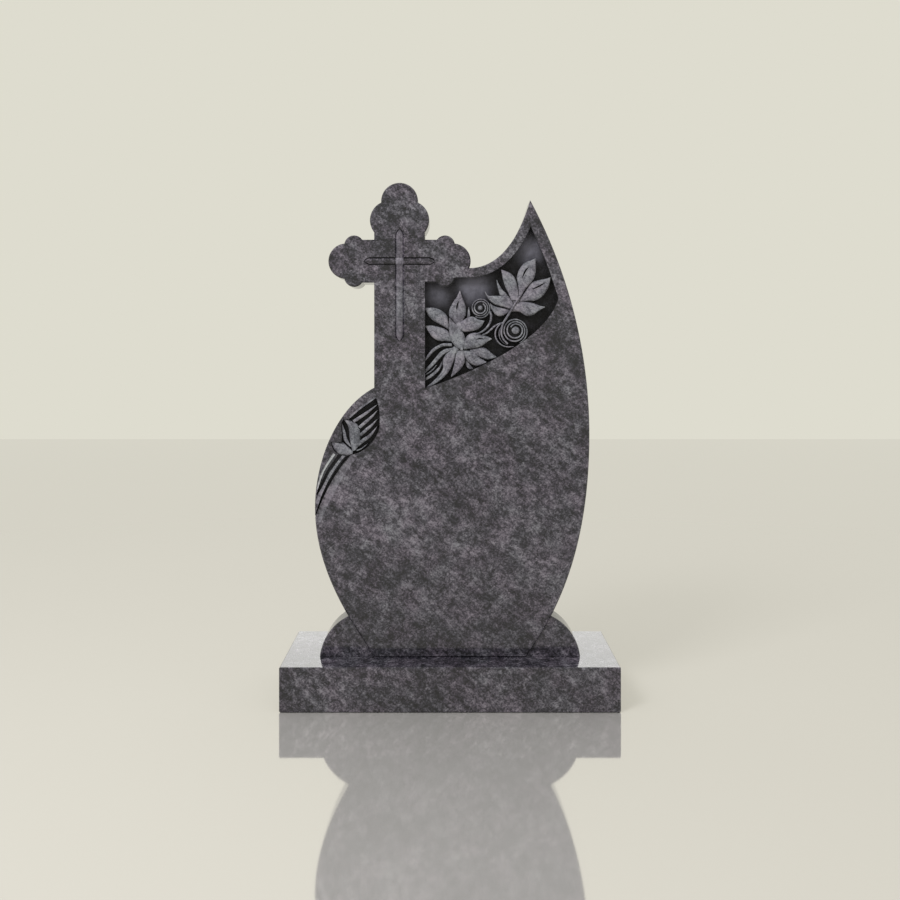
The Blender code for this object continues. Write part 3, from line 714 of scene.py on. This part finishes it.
# %% Carve the petals
CROWN = 1.5 * MM           # the highest petals lie this far behind the polished face
LAYER = 2.2 * MM
SWELL = 1.5 * MM           # from a petal's middle down to its edges
EDGE_ROLL = 2.8 * MM       # and more in the last stretch before the edge
MIDRIB_DEPTH = 0.8 * MM
MIDRIB_WIDTH = 1.2 * MM
VEIN_DEPTH = 0.22 * MM
VEIN_SPACING = 5.5 * MM
VEIN_LEAN = 0.9            # how far a vein runs forwards for each step outwards
VEIN_END = 1.02            # above 1 the carving fades out just before the tip
FULL_HALF = 6 * MM         # a petal narrower than twice this is carved shallower
TIP_DROP = 1.2 * MM
PETAL_TIP = 0.8 * MM
PETAL_STEP = 1.4 * MM
PETAL_LEAST_STEPS = 24
PETAL_ACROSS = 20


def petal(name, row, root):
    """A petal between two edges, given as a layer and two lines of points in mm."""
    layer, *edges = row
    left_edge, right_edge = (smooth_line([(x * MM, z * MM) for x, z in edge]) for edge in edges)
    length = math.dist(left_edge[0], left_edge[-1])
    rows_along = max(PETAL_LEAST_STEPS, round(length / PETAL_STEP))
    stations = []
    for i in range(rows_along + 1):
        (ax, az), (bx, bz) = (along_line(edge, i / rows_along)[0] for edge in (left_edge, right_edge))
        across = Vector((bx - ax, bz - az)) / 2
        if across.length < PETAL_TIP / 2:
            across = stations[-1][1].normalized() * PETAL_TIP / 2
        stations.append((Vector((ax + bx, az + bz)) / 2, across))

    def surface(t, s):
        middle, across = stations[round(t * rows_along)]
        half = across.length
        fade = math.sin(math.pi * min(t * VEIN_END, 1))
        fullness = min(1, half / FULL_HALF)
        rounding = (SWELL * s * s + EDGE_ROLL * s ** 8) * fullness
        midrib = MIDRIB_DEPTH * fade * fullness * math.exp(-(s * half / MIDRIB_WIDTH) ** 2)
        phase = (t * length - abs(s) * half * VEIN_LEAN) / VEIN_SPACING * math.pi
        vein = VEIN_DEPTH * fade * math.sin(phase) ** 8 * min(1, 4 * abs(s)) * (1 - abs(s))
        ends = TIP_DROP * t ** 4
        return (middle.x + across.x * s, CROWN + layer * LAYER + rounding + midrib + vein + ends,
                middle.y + across.y * s)

    return carved_strip(name, surface, rows_along, PETAL_ACROSS, root, carved)


LOWER_PETALS = (
    (0,
     ((-2, 715), (-2, 698), (-1, 679), (4, 664), (14.5, 652.5), (24, 646.5)),
     ((0, 715), (10.5, 704), (21, 693.5), (29.5, 680), (32.5, 664), (27.5, 647.5))),
    (2,
     ((14.5, 689.5), (4, 705.5), (-1.5, 719), (-1, 733.5), (6.5, 748.5), (14.5, 761),
      (20.5, 772.5)),
     ((29.5, 691.5), (29.5, 710.5), (33.5, 723), (33.5, 736), (30.5, 748.5), (25.5, 761),
      (21.5, 772.5))),
    (4,
     ((36, 706.5), (36, 721), (39, 738)),
     ((43, 706.5), (43, 723), (41, 738))),
    (1,
     ((12.5, 704), (27.5, 710.5), (40, 717), (50.5, 717.5), (61, 712.5), (72.5, 709.5)),
     ((19, 686.5), (31.5, 685.5), (46.5, 687.5), (59, 691.5), (67.5, 698), (72.5, 708))),
    (3,
     ((2, 704), (-5.5, 719), (-14.5, 728.5), (-25.5, 734.5), (-38, 737.5), (-53.5, 737)),
     ((-2, 688.5), (-12.5, 696), (-25.5, 704), (-38, 711.5), (-46.5, 721), (-53.5, 731.5))),
    (2,
     ((2, 683), (-4, 688.5), (-14.5, 693.5), (-27.5, 697), (-40, 699.5), (-52.5, 699)),
     ((2, 664), (-8.5, 665.5), (-21, 666.5), (-33.5, 671.5), (-42, 680), (-52.5, 696))),
    (1,
     ((29.5, 666.5), (32.5, 673.5), (42, 681.5), (55, 684), (67.5, 680), (78, 677), (88, 671.5)),
     ((29.5, 647.5), (40, 649.5), (52.5, 651.5), (63, 654), (71.5, 659), (80, 664.5), (88, 670))),
    (3,
     ((42, 649.5), (55, 652.5), (67.5, 653.5), (78, 649.5), (88.5, 641), (100, 632)),
     ((42, 634.5), (57, 633.5), (65.5, 630.5), (76, 627.5), (86.5, 627), (99.5, 630.5))),
    (2,
     ((27.5, 647.5), (40, 646.5), (52.5, 641), (63, 631.5), (71.5, 626.5), (77, 622)),
     ((27.5, 641), (32.5, 629.5), (42, 620), (52.5, 614.5), (63, 613), (76, 620))),
    (5,
     ((31.5, 630.5), (31.5, 622), (35, 611.5), (42, 606), (48.5, 606.5)),
     ((36, 632.5), (41, 622), (45.5, 614.5), (49.5, 607.5))),
    (1,
     ((14.5, 645), (11.5, 634.5), (9.5, 622), (6.5, 609.5), (2, 591.5)),
     ((29.5, 647.5), (31.5, 634.5), (31, 622), (24, 608.5), (14.5, 599), (4, 591))),
    (2,
     ((2, 647.5), (-8.5, 639), (-14.5, 628.5), (-16, 618), (-15, 609.5), (-21, 598), (-31.5, 586),
      (-42, 576), (-55, 566.5)),
     ((14.5, 645), (12.5, 632.5), (7.5, 619), (0, 605), (-10.5, 591.5), (-23, 580), (-36, 571.5),
      (-50.5, 562))),
    (3,
     ((6.5, 653.5), (-8.5, 651), (-21, 643.5), (-29.5, 633.5), (-38, 623), (-45.5, 614.5),
      (-55, 607.5)),
     ((4, 645), (-8.5, 640), (-18, 632.5), (-25.5, 624.5), (-33.5, 615.5), (-42, 607.5),
      (-55, 595.5))),
    (4,
     ((-18, 623), (-22.5, 613.5), (-30.5, 605), (-40, 597), (-55, 587.5)),
     ((-16.5, 622), (-19, 610.5), (-26.5, 600), (-38, 590), (-55, 580))),
    (5,
     ((-29.5, 616), (-40, 605), (-55, 594.5)),
     ((-28, 614.5), (-38, 602.5), (-55, 591.5))))
UPPER_PETALS = (
    (1,
     ((145.5, 759), (143, 778), (141, 795), (143.5, 809.5), (148.5, 821), (157, 831),
      (168.5, 836.5), (180.5, 841)),
     ((150.5, 761), (160, 776), (170.5, 789), (177.5, 799), (181, 811.5), (182, 826.5),
      (181, 840.5))),
    (2,
     ((147.5, 757), (160, 774), (170.5, 789), (183.5, 794), (198, 797.5), (212.5, 801.5)),
     ((147.5, 747.5), (160, 749.5), (173, 751), (185.5, 754), (197, 763), (206.5, 776),
      (211.5, 788.5), (213, 800.5))),
    (0,
     ((128.5, 752.5), (123.5, 767.5), (118, 778), (113.5, 790.5), (110, 803.5), (108, 816.5)),
     ((147.5, 752.5), (144.5, 774), (140.5, 790.5), (136, 801), (128.5, 809), (119, 814),
      (109, 817))),
    (3,
     ((111.5, 752.5), (105.5, 762), (102, 774), (99.5, 784.5), (98.5, 795.5)),
     ((128.5, 759), (120, 768), (111.5, 775), (105, 784.5), (99.5, 795.5))),
    (1,
     ((135, 746.5), (128.5, 759), (118, 763), (105.5, 762), (90.5, 762.5), (81, 762.5),
      (74.5, 771)),
     ((129.5, 732), (116, 737), (103, 740.5), (92.5, 744.5), (84.5, 750.5), (78.5, 758),
      (73.5, 770))),
    (2,
     ((129.5, 732.5), (116, 736), (103, 739), (92.5, 742), (84.5, 747)),
     ((128.5, 727.5), (120, 723), (110.5, 719.5), (101, 719.5), (92.5, 725.5), (87, 733.5),
      (84, 746))),
    (1,
     ((139, 748.5), (151.5, 750), (164.5, 749), (179, 745.5), (189.5, 741.5), (200, 739)),
     ((129.5, 728.5), (141, 729), (149.5, 727), (158, 721.5), (167.5, 719.5), (179, 723.5),
      (189.5, 731), (200, 737.5))))
SHOULDER_PETALS = (
    (-0.4,
     ((-206.5, 434.5), (-210.5, 449.5), (-212.5, 464), (-213.5, 479), (-217, 489.5),
      (-223.5, 500.5)),
     ((-198, 436.5), (-191.5, 447), (-189, 460), (-189, 472.5), (-191.5, 483), (-197, 491.5),
      (-204.5, 496.5), (-214, 500), (-222.5, 501.5))),
    (0.3,
     ((-210.5, 443), (-220, 451.5), (-225.5, 460), (-227.5, 471.5), (-228.5, 483), (-229, 493.5)),
     ((-208.5, 445), (-213, 453.5), (-217, 462), (-220, 473.5), (-224, 484), (-228.5, 494))),
    (-0.1,
     ((-204.5, 434.5), (-213, 442), (-220, 448), (-227.5, 453), (-238, 454.5), (-251, 455)),
     ((-206.5, 426), (-217, 424), (-227.5, 425), (-237, 428.5), (-245.5, 435.5), (-249.5, 444),
      (-252, 453.5))))
FLUTE_DEPTH = 11 * MM
FLUTE_GROUND = FLUTE_DEPTH + 2 * MM

carving = []
for name, rows, root in (("lower_petal", LOWER_PETALS, PETAL_GROUND),
                         ("upper_petal", UPPER_PETALS, PETAL_GROUND),
                         ("shoulder_petal", SHOULDER_PETALS, FLUTE_GROUND)):
    for row in rows:
        carving.append(petal(name, row, root))
print(len(carving), "petals")

# %% [markdown]
# ## Coiled buds and stems
#
# Each bud is a ridge that winds out from a domed heart, like a fern that is still rolled up. The
# coil drifts off its centre as it grows. The stems are ridges too, round on top.

# %% Wind the buds
STEPS_IN_TURN = 40
COIL_ACROSS = 6
MOUND_STEPS = 48
DRUM_STEPS = 96


def coil(name, centre, first, last, turns, start, drift, width, crown, fall):
    """A ridge that winds outwards, clockwise, from the first radius to the last."""
    def surface(t, s):
        turn = math.radians(start) - 2 * math.pi * turns * t
        radius = (first + (last - first) * t) * MM + s * width / 2
        x = centre[0] * MM + drift[0] * MM * t + radius * math.cos(turn)
        z = centre[1] * MM + drift[1] * MM * t + radius * math.sin(turn)
        drop = width / 2 * (1 - math.sqrt(max(1 - s * s, 0)))
        return x, crown + fall * t + drop, z
    return carved_strip(name, surface, round(STEPS_IN_TURN * turns), COIL_ACROSS, PETAL_GROUND, carved)


def mound(name, centre, radius, crown, height):
    """A dome that rises out of the stone: the front of a flattened ball."""
    bpy.ops.object.select_all(action="DESELECT")
    bpy.ops.mesh.primitive_uv_sphere_add(
        segments=MOUND_STEPS, ring_count=MOUND_STEPS // 2, radius=1, rotation=(QUARTER_TURN, 0, 0),
        location=at(centre[0] * MM, crown + height, centre[1] * MM),
        scale=(radius * MM, radius * MM, height))
    piece = settle(bpy.context.object, name)
    give_finish(piece, carved)
    return piece


def drum(name, centre, radius, top):
    """A low round bed that a coil lies on, in the dark ground finish: between the turns of the coil it
    is painted shade.
    """
    bpy.ops.object.select_all(action="DESELECT")
    bpy.ops.mesh.primitive_cylinder_add(
        vertices=DRUM_STEPS, radius=radius * MM, depth=PETAL_GROUND - top,
        rotation=(QUARTER_TURN, 0, 0),
        location=at(centre[0] * MM, (PETAL_GROUND + top) / 2, centre[1] * MM))
    piece = settle(bpy.context.object, name)
    give_finish(piece, ground)
    return piece


LARGE_BUD = (138.8, 689.4)
SMALL_BUD = (64.5, 736.2)
BED_DEPTH = 9 * MM
STEM_TAPER = 0.75
STEM_ROUND = 1.8 * MM      # from the top of a stem down to its edges
carving += [
    drum("large_bud_bed", LARGE_BUD, 23, BED_DEPTH),
    mound("large_bud_heart", LARGE_BUD, 8.6, 1.8 * MM, 5 * MM),
    coil("large_bud_coil", LARGE_BUD, 12.2, 27.0, 2.6, 150, (-2.4, -2.6), 3.6 * MM, 2.0 * MM, 1.5 * MM),
    drum("small_bud_bed", SMALL_BUD, 19.5, BED_DEPTH),
    mound("small_bud_heart", SMALL_BUD, 6.0, 3.0 * MM, 7 * MM),
    coil("small_bud_coil", SMALL_BUD, 9.8, 21.0, 2.5, 60, (0, 0), 3.2 * MM, 2.2 * MM, 4.5 * MM),
    mound("lower_heart", (13, 648), 10, CROWN + 1.6 * LAYER, 6 * MM),
    mound("upper_heart", (139, 752), 9, CROWN + 0.9 * LAYER, 6 * MM)]
STEMS = (
    (6.3, 4.0, ((4, 658.5), (-12.5, 658.5), (-24, 654.5), (-36, 646.5), (-44, 637), (-53.5, 626.5))),
    (4.6, 4.0, ((84.5, 729.5), (87, 719), (85, 706.5), (78, 695), (67.5, 686), (55, 680.5))),
    (4.2, 5.0, ((114, 704), (104.5, 702.5), (95, 698), (86.5, 690.5), (78, 683.5), (67.5, 679))),
    (4.6, 1.2, ((147.5, 761), (139, 748.5), (131.5, 736), (125.5, 725.5), (119, 715), (112.5, 704),
                (109, 691.5), (109, 679), (114, 668.5), (122, 660.5))),
    (3.0, 3.0, ((111.5, 705.5), (103, 699), (97.5, 690.5), (95.5, 680), (99, 668.5), (108.5, 658.5),
                (121, 654), (134, 654.5))),
    (2.5, 4.0, ((111.5, 699), (106, 691.5), (104, 682), (106, 671.5), (112.5, 663), (122, 658))))
for width, depth, points in STEMS:
    carving.append(ridge("stem", points, width * MM, STEM_TAPER, depth * MM,
                         depth * MM + STEM_ROUND, PETAL_GROUND, carved))
print(len(carving), "pieces of carving")

# %% [markdown]
# ## Slits
#
# Some petals are folded along the middle, and the fold is cut in as a slim slit with two pointed
# ends, whose floor and sides are painted dark as shade. The slits are cut last of all, through
# whatever lies there.

# %% Draw the slits
SLIT_DEPTH = 9 * MM
SLIT_EDGE_DEPTH = 8 * MM
SLITS = (
    (3.6, ((166.5, 823.5), (159, 814), (151.5, 798))),
    (3.6, ((203, 791), (187.5, 782), (171.5, 775))),
    (2.4, ((85.5, 748.5), (92.5, 743), (103, 739.5), (116, 736), (127.5, 731.5))),
    (3.6, ((18.5, 751.5), (15.5, 742), (13, 731.5))),
    (2.5, ((55, 669.5), (63, 671.5), (73.5, 671))))
slits = []
# Painted shade: each slit is cut with the dark ground finish on its floor and sides.
for width, points in SLITS:
    slits.append(ridge("slit_cutter", points, width * MM, 1, SLIT_DEPTH, SLIT_EDGE_DEPTH, OUTSIDE,
                       ground, pointed=True))
print(len(slits), "slits")

# %% [markdown]
# ## The left shoulder
#
# The shoulder has a shallow fluted field behind its own small spray, and two long grooves that run
# down the edge and fade out. The floor of the field and all but the upper wall of each groove are
# painted dark as shade, and the upper wall is dressed pale as if lit. Between and beside the grooves
# the face is dressed a little lower, so it shows as two pale bands, and a near-white painted
# highlight runs along the lip outside them. All of that is cut first, and the ribs are then joined in.

# %% Cut and rib the shoulder
FLUTE_FIELD = (
    ((-251.3, 454.5), (-240, 454.2), (-228.6, 452.8)),
    ((-228.6, 452.8), (-228.2, 470.5), (-229.2, 483), (-229, 494)),
    ((-224, 502), (-213.5, 501.5)),
    ((-213.5, 501.5), (-187.5, 524), (-155.5, 546.5)),
    ((-155.5, 547.5), (-149.5, 525), (-148, 500), (-150.5, 476.5), (-160, 459), (-174, 443),
     (-189.5, 432.5), (-201, 428.5)),
    ((-203, 428), (-217, 424.5), (-228, 425.5), (-237, 429), (-245, 436), (-249.3, 444)))
RIBS = (
    (6.6, ((-203.5, 496.5), (-187.5, 507), (-170.5, 519), (-152, 533.5))),
    (6.4, ((-191.5, 484), (-177, 496.5), (-164.5, 507.5), (-152, 521))),
    (6.4, ((-189.5, 467.5), (-175, 480.5), (-164.5, 489.5), (-152, 503))),
    (8, ((-196, 447), (-183.5, 456.5), (-168.5, 467.5), (-152.5, 487.5))),
    (3, ((-197, 435), (-185.5, 440), (-172, 451.5))))
GROOVES = (
    (12.5, ((-232, 429), (-241.8, 416.5), (-250.7, 404), (-259.2, 391.5), (-264.9, 379),
            (-270.4, 366), (-275.6, 353.5), (-281.1, 341))),
    (8, ((-213.5, 427), (-222.3, 416.5), (-232, 404), (-240.5, 391.5), (-248.3, 379), (-255.6, 366),
         (-261.8, 353.5), (-267.6, 341), (-272.5, 329), (-279.5, 310), (-286, 291.5))))
GROOVE_DEPTH = 8 * MM
LIT_WALL = -0.25           # the wall of a groove beyond this share is dressed pale as lit, the rest is painted shade
BANDS = (
    (14, carved, ((-220, 429), (-229, 416.5), (-238.8, 404), (-247.6, 391.5), (-254.5, 379),
                  (-261.4, 366), (-267.7, 353.5), (-273.8, 341), (-280.5, 322))),
    (6, lip_highlight, ((-243.5, 429), (-251.5, 416.5), (-259.5, 404), (-266.5, 391.5), (-272, 379),
                  (-276.5, 366), (-280.5, 353.5))),
    (13, honed, ((-204.7, 421.5), (-220.7, 399.5), (-239.5, 368), (-250, 347), (-260.5, 327),
                 (-269.5, 305), (-276.5, 284))),
    (5.5, carved, ((-211.5, 505), (-198, 517.5), (-183.5, 529.5), (-168.5, 540), (-157, 548.5))))
GROOVE_TAPER, BAND_TAPER, RIB_TAPER = 0.15, 0.5, 0.05
GROOVE_EDGE_DEPTH = 0.5 * MM
BAND_DEPTH = 0.9 * MM
BAND_EDGE_DEPTH = 0.3 * MM
RIB_CROWN = 1.8 * MM
RIB_ROUND = 1.2 * MM
FIELD_STEPS = 6


def groove_lit_and_shaded(s):
    """Lit and shaded copies: the upper wall of a groove is dressed pale as if lit, and the rest is
    painted dark as shade.
    """
    return carved if s < LIT_WALL else ground


field = [(x * MM, z * MM) for stretch in FLUTE_FIELD for x, z in smooth_line(stretch, FIELD_STEPS)]
field_cutter = drawn_slab("flute_field_cutter", field, OUTSIDE, FLUTE_DEPTH)
# Painted shade: the floor of the fluted field takes the dark ground finish.
give_finish(field_cutter, ground)
cutters = [field_cutter]
for width, finish, points in BANDS:
    cutters.append(ridge("band_cutter", points, width * MM, BAND_TAPER, BAND_DEPTH,
                         BAND_EDGE_DEPTH, OUTSIDE, finish))
for width, points in GROOVES:
    cutters.append(ridge("groove_cutter", points, width * MM, GROOVE_TAPER, GROOVE_DEPTH,
                         GROOVE_EDGE_DEPTH, OUTSIDE, groove_lit_and_shaded))
for width, points in RIBS:
    carving.append(ridge("rib", points, width * MM, RIB_TAPER, RIB_CROWN, RIB_CROWN + RIB_ROUND,
                         FLUTE_GROUND, carved))
print("field of", len(field), "points and", len(RIBS), "ribs")

# %% [markdown]
# ## The incised cross
#
# The slim cross is cut as a round bead that lies in a channel with pointed ends, and a little boss
# stands where its arms cross. The upright is honed pale. The level arm keeps its polish, and only
# its channel, painted dark as shade, draws it.

# %% Cut the slim cross
CHANNEL_DEPTH = 3.2 * MM
BEAD_CROWN = 0.7 * MM      # the middle of the bead lies this far behind the face
BEAD_SHARE = 0.74          # of the channel's width
BEAD_FINISHED = 0.95       # of the bead's own width, where the channel's finish begins
CHANNEL_TIP = 11 * MM
CHANNEL_LIP = 0.2 * MM
TIP_BLUNTNESS = 0.6        # below 1 the tip is blunt and round, above it would be hollow
TIP_SHARE = 0.03
BEAD_STEPS, BEAD_ACROSS = 120, 38
UPRIGHT_WIDTH, LEVEL_WIDTH = 19.5 * MM, 17 * MM
ABOVE, BELOW, REACH = 68 * MM, 169 * MM, 75.5 * MM


def bead_cutter(name, start, end, width, bead, channel):
    """Cuts a channel round a bead, from one point to another, each in its own finish."""
    length = math.dist(start, end)
    along = ((end[0] - start[0]) / length, (end[1] - start[1]) / length)

    def surface(t, s):
        from_end = min(t, 1 - t) * length
        half = width / 2 * max(min(1, from_end / CHANNEL_TIP) ** TIP_BLUNTNESS, TIP_SHARE)
        share = min(abs(s) / BEAD_SHARE, 1)
        depth = BEAD_CROWN + (CHANNEL_DEPTH - BEAD_CROWN) * (1 - math.sqrt(1 - share ** 2))
        if abs(s) > BEAD_SHARE:
            depth = CHANNEL_DEPTH * (1 - (abs(s) - BEAD_SHARE) / (1 - BEAD_SHARE)) + CHANNEL_LIP
        x = start[0] + along[0] * t * length - along[1] * half * s
        return x, depth, start[1] + along[1] * t * length + along[0] * half * s

    def finish(s):
        return channel if abs(s) > BEAD_FINISHED * BEAD_SHARE else bead

    return carved_strip(name, surface, BEAD_STEPS, BEAD_ACROSS, OUTSIDE, finish)


# Painted shade: the level arm's channel takes the dark ground finish.
cutters.append(bead_cutter("level_cutter", (CROSS_X - REACH, ARMS_Z), (CROSS_X + REACH, ARMS_Z),
                           LEVEL_WIDTH, polished, ground))
cutters.append(bead_cutter("upright_cutter", (CROSS_X, ARMS_Z - BELOW), (CROSS_X, ARMS_Z + ABOVE),
                           UPRIGHT_WIDTH, honed, polished))
carving.append(mound("cross_boss", (CROSS_X / MM, ARMS_Z / MM), 11.5, 0.2 * MM, 4 * MM))
print(len(cutters), "cutters for the face")

# %% [markdown]
# ## Cutting and joining
#
# The order is the carver's own: first what is cut into the face, then the relief that stands in the
# hollows, and the slits last. Where petals run under one another they can close off a tiny hollow
# inside the stone. Nobody sees it, but it would be a loose scrap in the mesh, so everything that
# isn't joined to the top of the stone is deleted.

# %% Carve the slab
SMOOTH_BELOW = math.radians(35)  # edges sharper than this stay crisp

shape_by(tablet, "DIFFERENCE", cutters)
shape_by(tablet, "UNION", carving)
shape_by(tablet, "DIFFERENCE", slits)

NEAR_TOP = tablet_high.z - 1 * MM
edit(tablet)
select_where("verts", lambda vertex: vertex.co.z > NEAR_TOP)
bpy.ops.mesh.select_linked()
bpy.ops.mesh.select_all(action="INVERT")
bpy.ops.mesh.delete(type="VERT")
leave_edit()
bpy.ops.object.shade_smooth_by_angle(angle=SMOOTH_BELOW)
print("tablet:", len(tablet.data.polygons), "faces")

# %% [markdown]
# The carved tablet stands for the CAD model's tablet. The plinth is a plain block, so its CAD solid
# stays as it is and gets the polished stone. Both read the same pattern in the same space, so they
# look as if they came from one quarry block.

# %% Put the stone on its pieces
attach(tablet, "root")
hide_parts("tablet")
plinth = frame["nodes"]["plinth"]
for slot in plinth.material_slots:
    slot.material = polished
print("stone on", tablet.name, "and", plinth.name)

# %% [markdown]
# ## The studio
#
# A pale polished floor and soft light from all round. The air is pale where the camera or a mirror
# sees it, and a little dimmer where it only lights things, so the dark stone stays dark. One soft
# key lamp stands at the upper left, and a low strip of light behind the stone is there for its
# mirror image alone, in the polished top of the plinth. The key is kept out of mirror images: it
# would burn out in the polish when the stone is seen from another side.

# %% Floor, air and lamps
FLOOR_SIZE = 12
FLOOR_GAP = 0.5 * MM       # under the plinth, so that the two faces don't flicker
bpy.ops.object.select_all(action="DESELECT")
bpy.ops.mesh.primitive_plane_add(size=FLOOR_SIZE, location=(0, 0, -FLOOR_GAP))
floor = bpy.context.object
floor.name = "floor"
floor_paint = bpy.data.materials.new("floor_paint")
floor_paint.use_nodes = True
floor_shader = floor_paint.node_tree.nodes["Principled BSDF"]
floor_shader.inputs["Base Color"].default_value = linear("#f2efe8")
floor_shader.inputs["Metallic"].default_value = 0.55
floor_shader.inputs["Roughness"].default_value = 0.05
floor.data.materials.append(floor_paint)

world = bpy.data.worlds.new("studio")
world.use_nodes = True
bpy.context.scene.world = world
SEEN_AIR, LIGHT_OF_AIR = linear("#dedccf"), linear("#e2e2e6")
DIM = 0.74                 # how strong the air is where it only lights things
air = world.node_tree.nodes["Background"]
rays = world.node_tree.nodes.new("ShaderNodeLightPath")
tone = world.node_tree.nodes.new("ShaderNodeMix")
tone.data_type = "RGBA"
tone.inputs[6].default_value = SEEN_AIR
tone.inputs[7].default_value = [DIM * channel for channel in LIGHT_OF_AIR[:3]] + [1]
world.node_tree.links.new(rays.outputs["Is Diffuse Ray"], tone.inputs["Factor"])
world.node_tree.links.new(tone.outputs[2], air.inputs["Color"])
air.inputs["Strength"].default_value = 1.0


def lamp(name, place, target, size, power):
    bpy.ops.object.select_all(action="DESELECT")
    bpy.ops.object.light_add(type="AREA", location=place)
    light = bpy.context.object
    light.name = name
    light.rotation_euler = (Vector(target) - Vector(place)).to_track_quat("-Z", "Y").to_euler()
    light.data.size = size
    light.data.energy = power
    return light


key = lamp("key_lamp", (-1.4, -1.9, 2.6), (0, 0, 0.6), 1.0, 50)
key.visible_glossy = False
strip = lamp("mirror_strip", (0, 1.5, 0.56), (0, 0, 0.092), 1.3, 3.2)
strip.data.shape = "RECTANGLE"
strip.data.size_y = 0.46
strip.visible_camera = False
strip.visible_diffuse = False
mirrors = bpy.data.collections.new("mirrors")
mirrors.objects.link(plinth)
strip.light_linking.receiver_collection = mirrors
bpy.context.scene.view_settings.view_transform = "Standard"
print("studio ready")
